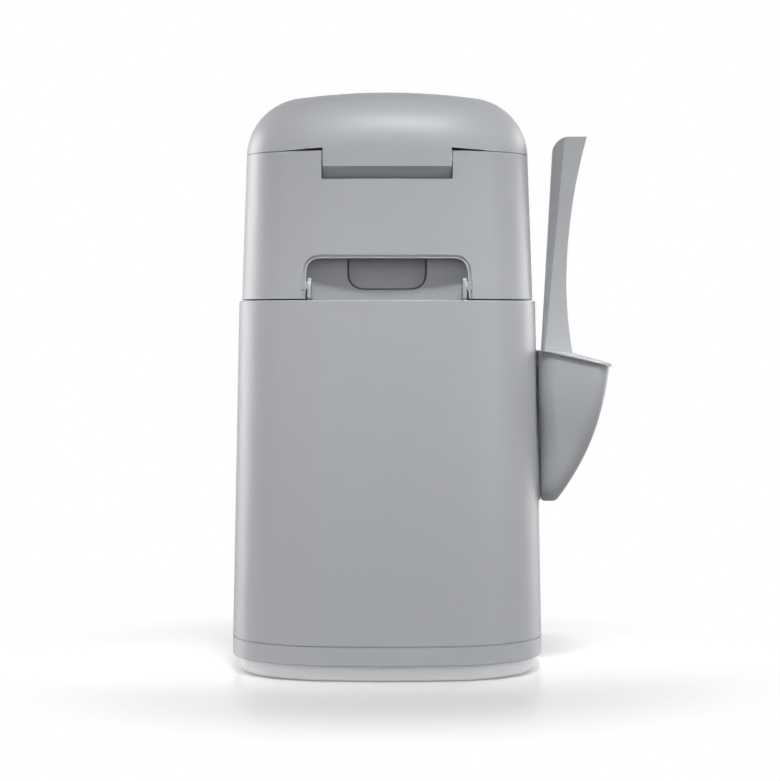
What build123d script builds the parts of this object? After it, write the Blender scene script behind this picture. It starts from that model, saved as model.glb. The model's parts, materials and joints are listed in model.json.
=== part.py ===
from build123d import *
import os
from math import atan2, cos, degrees, radians, sin, sqrt, tan

os.makedirs("parts", exist_ok=True)

# Litter disposal pail, in millimetres. The origin is the middle of the floor it stands on, +Z is up,
# the hinges are at the back (-Y), the latch button and the pull handle at the front (+Y), and the
# scoop hangs at +X. The bag film comes off a ring cartridge in the head, hangs through a spring
# shutter that pinches it shut, and fills the bin below.

# ---- Driving dimensions: the casing ----
overall_height = 431.4
skirt_half = 116.9          # half the width across the foot of the skirt
side_radius = 365.0         # bow of the four sides, seen from above
corner_radius = 78.0        # plan corner of the skirt
skirt_bottom = 12.3
bin_top = 275.0
bin_top_half = 111.7
split_gap = 1.1             # dark line between the bin and the head
cut_margin = 2.0            # how far a cutting form reaches past the face it opens
head_bottom_half = 109.6
head_top = 382.6
head_top_half = 105.9
lid_seam = 0.4              # running line between the head and the closed lid
shell_wall = 2.5

# ---- Driving dimensions: the bin ----
plinth_half = 110.3
plinth_edge = 2.0           # rounded lower edge of the plinth
floor_wall = 3.0
floor_lift = 2.0            # how far the skirt hangs below the floor plate
groove_height = 26.1
groove_width = 0.9
groove_depth = 0.8
rim_wall = 4.0
rim_depth = 9.0
rim_edge = 0.8
foot_radius = 9.0
foot_recess = 2.0           # how far a rubber foot sits up in the plinth
foot_pitch = 128.0
foot_stand = 0.5            # how far a rubber foot stands out of the plinth
floor_boss_radius = 4.5
floor_boss_height = 9.0
base_screw_length = 16.0

# ---- Driving dimensions: the back recess and the main hinge ----
recess_half = 57.6
recess_top = 305.2
recess_corner = 9.5
recess_depth = 16.6
recess_wall = 2.6
recess_splay = 1.4          # each side of the opening leans out by this much at the split
rim_frame_width = 2.4       # shallow frame pressed into the head round the recess
rim_frame_depth = 0.9
pocket_half = 28.8          # finger pocket in the back of the recess
pocket_bottom = 282.5
pocket_corner = 11.5
pocket_depth = 9.0
pocket_rise = 15.0          # how far the fingers reach up behind the lintel
lintel_wall = 3.0
skirt_drop = 7.0            # the recess panel reaches down behind the bin's rim
skirt_tuck = 1.2            # how far its ends stay in from the ears
hinge_back = 100.3          # distance of the main hinge from the pail's middle
hinge_rise = 10.0           # height of the main hinge over the bin's rim
hinge_pin_radius = 2.0
ear_outer = 57.2
ear_wall = 2.6
ear_radius = 6.0
ear_side_gap = 0.4
ear_drop = 29.0             # how far the ear's gusset runs down below the hinge
ear_waist = 19.0
ear_set = 2.0               # how far the gusset stays in from the ear's outer edge, inside the wall
boss_radius = 3.4
boss_length = 4.5
running_gap = 0.05          # radial clearance of every pin in its bore

# ---- Driving dimensions: the lid and its hinge ----
lid_crown_radius = 480.0
lid_shoulder = 44.0
lid_wall = 2.4
lid_draft = 1.9             # degrees
tab_half = 46.5
tab_gap = 0.7
tab_bottom = 363.0
tab_bevel_top = 371.4
tab_wall = 7.0              # the tab is thick enough to carry the hinge barrel
tab_floor_gap = 0.7
lid_hinge_inset = 9.2       # lid hinge, in from the head's back face
lid_hinge_height = 376.5
lid_pin_radius = 1.8
barrel_radius = 4.2
bracket_width = 7.0
wedge_rise = 1.9            # the lid's lower edge lifts beside the tab, so that it clears the head
wedge_end = 76.0
grip_half = 26.0
grip_reach = 3.5
grip_height = 4.0
liner_gap = 0.05            # the liner is pushed in against the lid's wall
liner_wall = 2.0
liner_height = 387.0
gasket_width = 4.0
gasket_gap = 0.4
gasket_height = 3.0
gasket_edge = 1.0
tab_tip = 0.8

# ---- Driving dimensions: the film cartridge and its well ----
cartridge_shift = 6.0       # the cartridge sits a little in front of the pail's middle
cartridge_half = 76.0
cartridge_corner = 44.0
cartridge_bottom = 329.0
cartridge_height = 34.0
cartridge_wall = 1.6
throat_half = 58.0
throat_corner = 34.0
cap_wall = 2.0
cap_lip = 5.0
well_gap = 1.6
well_wall = 1.8
collar_wall = 2.4
collar_top = 376.4
collar_notch_half = 60.0
collar_gap = 0.4
collar_notch_gap = 1.4      # room for the tip of the lid's tab as it swings past the collar
deck_wall = 2.5
deck_gap = 0.4
film_wall = 0.6
film_gap = 0.5

# ---- Driving dimensions: the shutter ----
shutter_bottom = 296.0
shutter_wall = 3.2
shutter_half = 56.0
shutter_travel = 72.0
jaw_line = -32.0            # where the moving jaw meets the fixed one
seal_width = 2.0
slide_gap = 0.4
frame_half = 79.0
frame_back = -44.0
frame_front = 88.0
frame_bottom = 291.0
frame_wall = 2.5
frame_height = 11.5
cover_wall = 2.0
opening_half = 50.0
opening_back = -38.0
opening_front = 40.0
opening_corner = 5.0
spring_block = 32.0         # length of a return spring when it is squeezed shut
frame_screw_y = 30.0
wing_half = 68.8
wing_depth = 8.0
spring_radius = 3.6
spring_wire = 1.1
spring_gap = 0.3
jaw_gap = 0.2
handle_screw_length = 9.0
handle_edge = 2.5
handle_half = 60.0
handle_bottom = 291.5
handle_top = 320.0
handle_depth = 17.0
handle_gap = 0.8
handle_corner = 9.0
handle_wall = 3.6
handle_grip_bottom = 303.0
plate_seat = 9.0            # how far the shutter plate enters the handle
post_x = 84.0
post_y = 38.0
post_radius = 5.0
screw_radius = 1.5
screw_head_radius = 3.0
screw_head = 1.8
screw_length = 12.0

# ---- Driving dimensions: the latch ----
latch_half = 20.0
latch_bottom = 280.6
latch_height = 8.4
latch_gap = 0.4
latch_corner = 2.5
latch_stand = 1.6           # how far the button stands out of the head
latch_spring_length = 11.0
latch_spring_radius = 2.8
latch_depth = 12.0
hook_half = 11.0
hook_wall = 2.6
hook_bottom = 255.0
hook_nose = 4.4
catch_half = 14.0
catch_reach = 3.2
catch_bottom = 261.0
catch_top = 269.0
catch_gap = 0.5

# ---- Driving dimensions: the cutter inside the bin ----
cutter_length = 42.0
cutter_height = 24.0
cutter_depth = 11.0
cutter_top = 262.0
cutter_slot = 3.0
cutter_slot_depth = 14.0
cutter_screw_y = 15.0
blade_wall = 0.6
blade_width = 8.0
blade_length = 12.0

# ---- Driving dimensions: the scoop and its holder ----
holder_back_gap = 1.3       # between the holder's back and the bin
holder_wall = 2.2
holder_arc_radius = 192.2   # bowed outer side, seen from the back
holder_arc_back = 145.1     # from the rail's face back to the centre of that arc
holder_arc_z = 242.2
holder_bottom = 125.5
holder_nose = 3.0
holder_rim_back = 238.4     # rim height at the bin
holder_rim_slope = 12.8     # degrees, down towards the outside
holder_top_half = 47.0
holder_foot_half = 31.0
holder_edge = 13.0
holder_edge_share = 0.42
holder_bulge = 4.0
bracket_wall = 1.0
bracket_half = 27.0
bracket_bottom = 126.0
bracket_top = 233.0
rail_bottom = 160.0
rail_top = 226.0
rail_stand = 9.3            # how far the rail stands out from the bin's upper edge
rail_neck_half = 8.0
rail_half = 11.0
rail_lip = 2.6
rail_gap = 0.3
rail_screw_inset = 16.0
bowl_gap = 1.0
bowl_wall = 2.0
flange_reach = 2.2
flange_wall = 1.6
flange_gap = 0.3
slot_width = 4.0
slot_pitch = 9.0
slot_count = 7
scoop_handle_half = 13.0
scoop_handle_top = 399.0
scoop_handle_wall = 2.4
handle_foot_x = 117.2
handle_foot_z = 236.0
handle_grip_x = 125.2
handle_heel_z = 388.0
handle_root_x = 139.8
handle_waist_x = 135.0
handle_waist_z = 287.0
handle_tip_x = 150.3
handle_sag = 3.8
handle_flare = 1.0
handle_open = 4.0
heel_radius = 12.3
facet_foot = 1.6
facet_head = 7.6
roof_height = 236.3         # top of the roof where it meets the outer side of the handle
roof_slope = 16.0           # degrees, outwards of the handle
roof_plateau = 3.8          # degrees, on the wall side
roof_back = 114.4
hip_slope = 7.0             # degrees
slots_bottom = 138.0
slots_top = 216.0
roof_rise = 3.6

# ---- Places worked out from the driving dimensions ----
head_bottom = bin_top + split_gap
lid_bottom = head_top + lid_seam
floor_bottom = skirt_bottom + floor_lift
floor_top = floor_bottom + floor_wall
bin_slope = (skirt_half - bin_top_half) / (bin_top - skirt_bottom)
head_slope = (head_bottom_half - head_top_half) / (head_top - head_bottom)
shutter_top = shutter_bottom + shutter_wall
frame_top = frame_bottom + frame_height
cover_top = frame_top + cover_wall
deck_bottom = cartridge_bottom - deck_wall
cartridge_top = cartridge_bottom + cartridge_height
hinge_y = -hinge_back
hinge_height = bin_top + hinge_rise
ear_inner = ear_outer - ear_wall
boss_inner = ear_outer + ear_side_gap
well_inner = cartridge_half + well_gap
liner_bottom = liner_height - liner_wall
rail_reach = bin_top_half + rail_stand
holder_arc_x = rail_reach - holder_arc_back


def bin_inset(height):
    """How far the bin's outer face is drawn in from the skirt at a height"""
    return (height - skirt_bottom) * bin_slope


def head_inset(height):
    """How far the head's outer face is drawn in from the skirt at a height"""
    return skirt_half - head_bottom_half + (height - head_bottom) * head_slope


def plan(inset):
    """The pail's outline from above: bowed sides and large corners, drawn in by an inset"""
    half = skirt_half - inset
    radius = side_radius - inset
    centre = half - radius
    corner = (centre + sqrt(2 * radius**2 - centre**2)) / 2
    with BuildSketch(Plane.XY) as outline:
        with BuildLine():
            ThreePointArc((corner, -corner), (half, 0), (corner, corner))
            ThreePointArc((corner, corner), (0, half), (-corner, corner))
            ThreePointArc((-corner, corner), (-half, 0), (-corner, -corner))
            ThreePointArc((-corner, -corner), (0, -half), (corner, -corner))
        make_face()
        fillet(outline.vertices(), corner_radius - inset)
    return outline.sketch


def casing(low, high, inset_low, inset_high):
    """A solid with the pail's outline, drafted between two heights"""
    with BuildPart() as body:
        with BuildSketch(Plane.XY.offset(low)):
            add(plan(inset_low))
        extrude(amount=high - low, taper=degrees(atan2(inset_high - inset_low, high - low)))
    return body.part


def bin_body(low, high, wall):
    """The bin's form between two heights, drawn in by a wall"""
    return casing(low, high, bin_inset(low) + wall, bin_inset(high) + wall)


def head_body(low, high, wall):
    """The head's form between two heights, drawn in by a wall"""
    return casing(low, high, head_inset(low) + wall, head_inset(high) + wall)


def slab(x_low, x_high, y_low, y_high, z_low, z_high):
    """A square-edged block between six planes"""
    with BuildPart() as block:
        with BuildSketch(Plane.XY.offset(z_low)):
            with Locations(((x_low + x_high) / 2, (y_low + y_high) / 2)):
                Rectangle(x_high - x_low, y_high - y_low)
        extrude(amount=z_high - z_low)
    return block.part


def rod(y, z, radius, x_low, x_high):
    """A round bar along X"""
    with BuildPart() as bar:
        with BuildSketch(Plane.YZ.offset(x_low)):
            with Locations((y, z)):
                Circle(radius)
        extrude(amount=x_high - x_low)
    return bar.part


def ring(low, high, inner_half, outer_half, inner_corner, outer_corner):
    """A rounded square tube round the throat"""
    with BuildPart() as tube:
        with BuildSketch(Plane.XY.offset(low)):
            with Locations((0, cartridge_shift)):
                RectangleRounded(2 * outer_half, 2 * outer_half, outer_corner)
                RectangleRounded(2 * inner_half, 2 * inner_half, inner_corner, mode=Mode.SUBTRACT)
        extrude(amount=high - low)
    return tube.part


def screws(face, places, length):
    """Pan-head screws at places on a plane, driven along its normal from the face of their heads"""
    with BuildPart() as group:
        with BuildSketch(face):
            with Locations(*places):
                Circle(screw_head_radius)
        extrude(amount=screw_head)
        with BuildSketch(face.offset(screw_head)):
            with Locations(*places):
                Circle(screw_radius)
        extrude(amount=length)
    return group.part


def square_places(x, y):
    """Four places, mirrored left to right and front to back"""
    return [(-x, -y), (x, -y), (-x, y), (x, y)]


# ---- Bin: one moulding with a drafted wall, a thick rim, two hinge ears and a catch ----
def hinge_ear(x_low):
    """One ear: a round lug over a gusset that runs down the inside of the bin wall"""
    with BuildPart() as ear:
        with BuildSketch(Plane.YZ.offset(x_low)):
            with BuildLine():
                Polyline(
                    (hinge_y - ear_radius, hinge_height),
                    (hinge_y - ear_radius, hinge_height - ear_radius - ear_set),
                    (hinge_y - ear_radius + ear_set, hinge_height - ear_radius - 2 * ear_set),
                    (hinge_y - ear_radius + ear_set, hinge_height - ear_drop),
                    (hinge_y - ear_radius + rim_wall, hinge_height - ear_drop),
                    (hinge_y + ear_radius, hinge_height - ear_waist),
                    (hinge_y + ear_radius, hinge_height),
                )
                ThreePointArc(
                    (hinge_y + ear_radius, hinge_height),
                    (hinge_y, hinge_height + ear_radius),
                    (hinge_y - ear_radius, hinge_height),
                )
            make_face()
        extrude(amount=ear_wall)
    return ear.part


catch_back = bin_top_half - rim_wall - catch_reach
cutter_bottom = cutter_top - cutter_height
cutter_face = skirt_half - bin_inset(cutter_bottom) - shell_wall - cutter_depth
cutter_screws = screws(
    Plane((-cutter_face, 0, 0), x_dir=(0, 1, 0), z_dir=(-1, 0, 0)),
    [(-cutter_screw_y, cutter_height / 2 - cutter_top), (cutter_screw_y, cutter_height / 2 - cutter_top)],
    cutter_depth - screw_head + shell_wall / 2,
)
bracket_screw_length = rail_reach - screw_head - skirt_half + bin_inset(rail_top) + 2 * shell_wall
bracket_screws = screws(
    Plane((rail_reach, 0, 0), x_dir=(0, 1, 0), z_dir=(-1, 0, 0)),
    [(0, -(rail_bottom + rail_screw_inset)), (0, -(rail_top - rail_screw_inset))],
    bracket_screw_length,
)
foot_places = square_places(foot_pitch / 2, foot_pitch / 2) + [(0, 0)]
foot_top = foot_stand + foot_recess
base_screws = screws(Plane.XY.offset(foot_top), foot_places, base_screw_length)

with BuildPart() as skirt_groove:
    add(bin_body(groove_height - groove_width / 2, groove_height + groove_width / 2, -cut_margin))
    add(bin_body(groove_height - groove_width / 2, groove_height + groove_width / 2, groove_depth),
        mode=Mode.SUBTRACT)

with BuildPart() as bin_shell:
    add(bin_body(skirt_bottom, bin_top, 0))
    fillet(bin_shell.faces().sort_by(Axis.Z)[-1].edges(), rim_edge)
    fillet(bin_shell.faces().sort_by(Axis.Z)[0].edges(), rim_edge)
    add(bin_body(floor_top, bin_top - rim_depth, shell_wall), mode=Mode.SUBTRACT)
    add(bin_body(bin_top - rim_depth, bin_top + rim_edge, rim_wall), mode=Mode.SUBTRACT)
    add(bin_body(skirt_bottom - rim_edge, floor_bottom, shell_wall), mode=Mode.SUBTRACT)
    for ear_x in (ear_inner, -ear_outer):
        add(hinge_ear(ear_x))
        add(rod(hinge_y, hinge_height, hinge_pin_radius, ear_x, ear_x + ear_wall), mode=Mode.SUBTRACT)
    add(slab(-catch_half, catch_half, catch_back, bin_top_half - rim_wall / 2, catch_bottom, catch_top))
    with BuildSketch(Plane.XY.offset(floor_bottom)):
        with Locations(*foot_places):
            Circle(floor_boss_radius)
    extrude(amount=floor_boss_height)
    for group in (base_screws, cutter_screws, bracket_screws):
        add(group, mode=Mode.SUBTRACT)
    add(skirt_groove.part, mode=Mode.SUBTRACT)
bin_shell.part.label = "bin_shell"
export_step(bin_shell.part, "parts/bin_shell.step")


# ---- Plinth, rubber feet and screws under the bin ----
with BuildPart() as base_plinth:
    with BuildSketch(Plane.XY.offset(foot_stand)):
        add(plan(skirt_half - plinth_half))
    extrude(amount=floor_bottom - foot_stand)
    fillet(base_plinth.faces().sort_by(Axis.Z)[0].edges(), plinth_edge)
    with BuildSketch(Plane.XY.offset(foot_stand + shell_wall)):
        add(plan(skirt_half - plinth_half + shell_wall))
        with Locations(*foot_places):
            Circle(foot_radius + shell_wall, mode=Mode.SUBTRACT)
    extrude(amount=floor_bottom, mode=Mode.SUBTRACT)
    with BuildSketch(Plane.XY):
        with Locations(*foot_places):
            Circle(foot_radius)
    extrude(amount=foot_top, mode=Mode.SUBTRACT)
    add(base_screws, mode=Mode.SUBTRACT)
base_plinth.part.label = "base_plinth"
export_step(base_plinth.part, "parts/base_plinth.step")

with BuildPart() as rubber_feet:
    with BuildSketch(Plane.XY):
        with Locations(*foot_places):
            Circle(foot_radius)
    extrude(amount=foot_top)
    chamfer(rubber_feet.faces().group_by(Axis.Z)[0].edges(), foot_stand / 2)
rubber_feet.part.label = "rubber_feet"
export_step(rubber_feet.part, "parts/rubber_feet.step")

base_screws.label = "base_screws"
export_step(base_screws, "parts/base_screws.step")

# ---- Main hinge pins: pressed into the ears, turning in the head ----
pin_end = boss_inner + 0.75 * boss_length
hinge_pins = rod(hinge_y, hinge_height, hinge_pin_radius, ear_inner, pin_end)
hinge_pins = hinge_pins + hinge_pins.mirror(Plane.YZ)
hinge_pins.label = "hinge_pins"
export_step(hinge_pins, "parts/hinge_pins.step")


# ---- Head: a drafted ring with the back recess, finger pocket, posts and lid brackets ----
def recess_profile(grow):
    """The recess opening seen from behind: round top corners and sides that lean out"""
    foot = head_bottom - cut_margin
    with BuildSketch(Plane.XZ) as opening:
        with BuildLine():
            Polyline(
                (-recess_half - recess_splay - grow, foot),
                (-recess_half - grow, recess_top + grow),
                (recess_half + grow, recess_top + grow),
                (recess_half + recess_splay + grow, foot),
                close=True,
            )
        make_face()
        fillet(opening.vertices().group_by(Axis.Y)[-1], recess_corner + grow)
    return opening.sketch


def pocket_profile(grow, top):
    """The finger pocket seen from behind: a U with round lower corners"""
    with BuildSketch(Plane.XZ) as pocket:
        with BuildLine():
            Polyline(
                (-pocket_half - grow, top),
                (-pocket_half - grow, pocket_bottom - grow),
                (pocket_half + grow, pocket_bottom - grow),
                (pocket_half + grow, top),
                close=True,
            )
        make_face()
        fillet(pocket.vertices().group_by(Axis.Y)[0], pocket_corner + grow)
    return pocket.sketch


def from_back(profile, y_low, y_high):
    """Push a profile drawn in the XZ plane from one depth to another, along +Y"""
    with BuildPart() as block:
        add(profile.moved(Location((0, y_high, 0))))
        extrude(amount=y_high - y_low, dir=(0, -1, 0))
    return block.part


back_limit = -skirt_half
panel_y = -head_bottom_half + recess_depth
pocket_y = panel_y + pocket_depth
pocket_top = recess_top + pocket_rise
lintel_back = -head_bottom_half + 2 * lintel_wall
lid_hinge_y = -(skirt_half - head_inset(lid_hinge_height)) + lid_hinge_inset
tab_slot_half = tab_half + tab_gap
front_limit = skirt_half
collar_bottom = collar_top - collar_wall
tab_sweep = sqrt((lid_hinge_inset - tab_wall) ** 2 + (lid_hinge_height - tab_bottom) ** 2)
collar_notch_y = lid_hinge_y + tab_sweep + collar_notch_gap
post_places = square_places(post_x, post_y)
post_screws = screws(Plane.XY.offset(frame_top - screw_head), post_places, screw_length)
deck_screws = screws(Plane((0, 0, cartridge_bottom + screw_head), z_dir=(0, 0, -1)), post_places,
                     screw_length - cover_wall)

with BuildPart() as head_cavity:
    add(head_body(head_bottom, head_top, shell_wall))
    add(from_back(recess_profile(recess_wall), back_limit, panel_y + recess_wall), mode=Mode.SUBTRACT)
    add(from_back(pocket_profile(recess_wall, pocket_top + recess_wall), back_limit, pocket_y + recess_wall),
        mode=Mode.SUBTRACT)
    for side in (-1, 1):
        boss_start = side * boss_inner
        boss_end = side * (boss_inner + boss_length)
        bracket_start = side * tab_slot_half
        bracket_end = side * (tab_slot_half + bracket_width)
        add(rod(hinge_y, hinge_height, boss_radius, min(boss_start, boss_end), max(boss_start, boss_end)),
            mode=Mode.SUBTRACT)
        add(slab(min(bracket_start, bracket_end), max(bracket_start, bracket_end), back_limit,
                 lid_hinge_y + barrel_radius, lid_hinge_height - 2 * barrel_radius, head_top),
            mode=Mode.SUBTRACT)
    with BuildSketch(Plane.XY.offset(cover_top)):
        with Locations(*post_places):
            Circle(post_radius)
        for side in (-1, 1):
            for end in (-1, 1):
                with Locations((side * (post_x + skirt_half) / 2, end * post_y)):
                    Rectangle(skirt_half - post_x, shell_wall)
    extrude(amount=deck_bottom - cover_top, mode=Mode.SUBTRACT)

with BuildPart() as rim_frame:
    add(from_back(recess_profile(rim_frame_width), back_limit, 0))
    add(head_body(head_bottom - cut_margin, head_top, rim_frame_depth), mode=Mode.SUBTRACT)

skirt_end = ear_inner - skirt_tuck
with BuildPart() as head_shell:
    add(head_body(head_bottom, head_top, 0))
    add(head_cavity.part, mode=Mode.SUBTRACT)
    add(rim_frame.part, mode=Mode.SUBTRACT)
    add(from_back(recess_profile(0), back_limit, panel_y), mode=Mode.SUBTRACT)
    add(from_back(pocket_profile(0, recess_top), back_limit, pocket_y), mode=Mode.SUBTRACT)
    add(from_back(pocket_profile(0, pocket_top), lintel_back, pocket_y), mode=Mode.SUBTRACT)
    for side in (-1, 1):
        boss_start = side * boss_inner
        boss_end = side * (boss_inner + boss_length)
        add(rod(hinge_y, hinge_height, boss_radius, min(boss_start, boss_end), max(boss_start, boss_end)))
    add(rod(hinge_y, hinge_height, hinge_pin_radius + running_gap, -pin_end, pin_end),
        mode=Mode.SUBTRACT)
    add(slab(-tab_slot_half, tab_slot_half, back_limit, lid_hinge_y + barrel_radius,
             tab_bottom - tab_floor_gap, head_top), mode=Mode.SUBTRACT)
    add(rod(lid_hinge_y, lid_hinge_height, lid_pin_radius, -tab_slot_half - bracket_width,
            tab_slot_half + bracket_width), mode=Mode.SUBTRACT)
    add(slab(-shutter_half - 2 * slide_gap, shutter_half + 2 * slide_gap, 0, front_limit,
             shutter_bottom - 2 * slide_gap, shutter_top + 2 * slide_gap), mode=Mode.SUBTRACT)
    with BuildSketch(Plane.XZ):
        with Locations((0, latch_bottom + latch_height / 2)):
            RectangleRounded(2 * (latch_half + latch_gap), latch_height + 2 * latch_gap, latch_corner)
    extrude(amount=-front_limit, mode=Mode.SUBTRACT)
    add(post_screws, mode=Mode.SUBTRACT)
    add(deck_screws, mode=Mode.SUBTRACT)
    add(slab(-skirt_end, skirt_end, panel_y, panel_y + recess_wall, bin_top - skirt_drop,
             head_bottom + recess_wall))
head_shell.part.label = "head_shell"
export_step(head_shell.part, "parts/head_shell.step")

# ---- Film cartridge: tray, push-fit cap and pleated film, standing on the throat deck ----
cartridge_tray = (
    ring(cartridge_bottom, cartridge_top, throat_half, cartridge_half, throat_corner, cartridge_corner)
    - ring(cartridge_bottom + cartridge_wall, cartridge_top, throat_half + cartridge_wall,
           cartridge_half - cartridge_wall, throat_corner + cartridge_wall, cartridge_corner - cartridge_wall)
    - ring(cartridge_top - cap_wall, cartridge_top, throat_half - 1, throat_half + 2 * cartridge_wall,
           throat_corner - 1, throat_corner + 2 * cartridge_wall)
)
cartridge_tray.label = "cartridge_tray"
export_step(cartridge_tray, "parts/cartridge_tray.step")

film_pack = ring(
    cartridge_bottom + cartridge_wall, cartridge_top - 3 * cap_wall,
    throat_half + 2 * cartridge_wall, cartridge_half - 2 * cartridge_wall,
    throat_corner + 2 * cartridge_wall, cartridge_corner - 2 * cartridge_wall,
)
film_pack.label = "film_pack"
export_step(film_pack, "parts/film_pack.step")

cartridge_cap = ring(cartridge_top, cartridge_top + cap_wall, throat_half + cap_lip / 2, cartridge_half,
                     throat_corner + cap_lip / 2, cartridge_corner)
cartridge_cap += ring(cartridge_top - cap_wall, cartridge_top, cartridge_half - cartridge_wall - cap_wall,
                      cartridge_half - cartridge_wall, cartridge_corner - cartridge_wall - cap_wall,
                      cartridge_corner - cartridge_wall)
cartridge_cap.label = "cartridge_cap"
export_step(cartridge_cap, "parts/cartridge_cap.step")


# ---- Throat: a deck on the head's posts with a funnel down to the shutter ----
def funnel(grow, low, high):
    """The funnel's form: round-cornered square at the deck, rectangle over the shutter"""
    with BuildPart() as form:
        with BuildSketch(Plane.XY.offset(high)):
            with Locations((0, cartridge_shift)):
                RectangleRounded(2 * (throat_half + grow), 2 * (throat_half + grow), throat_corner + grow)
        with BuildSketch(Plane.XY.offset(low)):
            with Locations((0, (opening_back + opening_front) / 2)):
                RectangleRounded(2 * (opening_half + grow), opening_front - opening_back + 2 * grow,
                                 opening_corner + grow)
        loft()
    return form.part


def throat(grow, low, high):
    """The straight opening through the shutter, below the funnel"""
    with BuildPart() as form:
        with BuildSketch(Plane.XY.offset(low)):
            with Locations((0, (opening_back + opening_front) / 2)):
                RectangleRounded(2 * (opening_half + grow), opening_front - opening_back + 2 * grow,
                                 opening_corner + grow)
        extrude(amount=high - low)
    return form.part


with BuildPart() as throat_funnel:
    add(head_body(deck_bottom, cartridge_bottom, shell_wall + deck_gap))
    add(funnel(cartridge_wall, cover_top, cartridge_bottom))
    add(funnel(0, cover_top, cartridge_bottom), mode=Mode.SUBTRACT)
    add(deck_screws, mode=Mode.SUBTRACT)
throat_funnel.part.label = "throat_funnel"
export_step(throat_funnel.part, "parts/throat_funnel.step")
deck_screws.label = "deck_screws"
export_step(deck_screws, "parts/deck_screws.step")

# ---- Collar: the bezel round the cartridge, with a well wall down to the deck ----
with BuildPart() as head_collar:
    add(head_body(collar_bottom, collar_top, shell_wall + collar_gap))
    add(ring(cartridge_bottom, collar_top, well_inner, well_inner + well_wall,
             cartridge_corner + well_gap, cartridge_corner + well_gap + well_wall))
    with BuildSketch(Plane.XY.offset(collar_bottom)):
        with Locations((0, cartridge_shift)):
            RectangleRounded(2 * well_inner, 2 * well_inner, cartridge_corner + well_gap)
    extrude(amount=collar_wall, mode=Mode.SUBTRACT)
    add(slab(-collar_notch_half, collar_notch_half, back_limit, collar_notch_y, collar_bottom, collar_top),
        mode=Mode.SUBTRACT)
head_collar.part.label = "head_collar"
export_step(head_collar.part, "parts/head_collar.step")

# ---- Film pouch: over the lip of the tray, down the funnel and shut by the jaws ----
pouch_low = shutter_top + 2 * slide_gap
with BuildPart() as film_sleeve:
    add(funnel(-film_gap, cover_top, cartridge_bottom))
    add(throat(-film_gap, pouch_low, cover_top))
    add(funnel(-film_gap - film_wall, cover_top, cartridge_bottom), mode=Mode.SUBTRACT)
    add(throat(-film_gap - film_wall, pouch_low + film_wall, cover_top), mode=Mode.SUBTRACT)
    add(ring(cartridge_bottom, cartridge_top, throat_half - film_gap - film_wall, throat_half - film_gap,
             throat_corner - film_gap - film_wall, throat_corner - film_gap))
    add(ring(cartridge_top - film_wall, cartridge_top, throat_half - film_gap - film_wall,
             throat_half + cap_lip / 2, throat_corner - film_gap - film_wall, throat_corner + cap_lip / 2))
film_sleeve.part.label = "film_sleeve"
export_step(film_sleeve.part, "parts/film_sleeve.step")

# ---- Shutter: frame, cover, jaws, sprung plate and pull handle ----
channel_low = shutter_bottom - slide_gap
channel_high = shutter_top + slide_gap
guide_half = shutter_half + slide_gap
frame_inner = frame_half - frame_wall
spring_x = (guide_half + frame_wall + wing_half) / 2
wing_front = jaw_line + seal_width + wing_depth
spring_stop = wing_front + shutter_travel + spring_block
fixed_jaw_front = jaw_line - seal_width
latch_back = head_bottom_half + latch_stand - latch_depth
frame_screw_x = frame_half - screw_head_radius - 1
frame_screws = screws(Plane.XY.offset(frame_bottom), square_places(frame_screw_x, frame_screw_y),
                      frame_height)

with BuildPart() as shutter_frame:
    with BuildSketch(Plane.XY.offset(frame_bottom)):
        with Locations((0, (frame_back + frame_front) / 2)):
            RectangleRounded(2 * frame_half, frame_front - frame_back, handle_corner)
    extrude(amount=frame_height)
    add(slab(-frame_inner, frame_inner, frame_back + frame_wall, frame_front - frame_wall,
             frame_bottom + frame_wall, frame_top), mode=Mode.SUBTRACT)
    add(throat(frame_wall, frame_bottom, channel_low))
    for side in (-1, 1):
        with BuildSketch(Plane.XY.offset(frame_bottom)):
            with Locations((side * (guide_half + frame_wall / 2), (spring_stop + frame_front) / 2)):
                Rectangle(frame_wall, frame_front - spring_stop)
            with Locations((side * (guide_half + frame_inner) / 2, spring_stop + frame_wall / 2)):
                Rectangle(frame_inner - guide_half, frame_wall)
            for end in (-1, 1):
                with Locations((side * frame_screw_x, end * frame_screw_y)):
                    Circle(screw_head_radius + 1)
        extrude(amount=frame_height)
    add(throat(0, frame_bottom, frame_top), mode=Mode.SUBTRACT)
    add(slab(-guide_half, guide_half, spring_stop, frame_front, channel_low, channel_high),
        mode=Mode.SUBTRACT)
    add(slab(-hook_half, hook_half, latch_back - latch_spring_length - frame_wall,
             latch_back - latch_spring_length, latch_bottom, frame_bottom))
    add(frame_screws, mode=Mode.SUBTRACT)
shutter_frame.part.label = "shutter_frame"
export_step(shutter_frame.part, "parts/shutter_frame.step")
frame_screws.label = "frame_screws"
export_step(frame_screws, "parts/frame_screws.step")

with BuildPart() as shutter_cover:
    with BuildSketch(Plane.XY.offset(frame_top)):
        with Locations((0, (frame_back + frame_front) / 2)):
            RectangleRounded(2 * frame_half, frame_front - frame_back, handle_corner)
        with Locations(*post_places):
            Circle(post_radius)
        for end in (-1, 1):
            with Locations((0, end * post_y)):
                Rectangle(2 * post_x, 2 * post_radius)
    extrude(amount=cover_wall)
    add(throat(frame_wall, channel_high, cover_top))
    add(throat(0, channel_low, cover_top), mode=Mode.SUBTRACT)
    add(post_screws, mode=Mode.SUBTRACT)
    add(frame_screws, mode=Mode.SUBTRACT)
shutter_cover.part.label = "shutter_cover"
export_step(shutter_cover.part, "parts/shutter_cover.step")
post_screws.label = "post_screws"
export_step(post_screws, "parts/post_screws.step")

jaw_half = opening_half - opening_corner
fixed_jaw = slab(-jaw_half, jaw_half, opening_back, fixed_jaw_front, frame_bottom + frame_wall, channel_high)
fixed_jaw.label = "fixed_jaw"
export_step(fixed_jaw, "parts/fixed_jaw.step")

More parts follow.
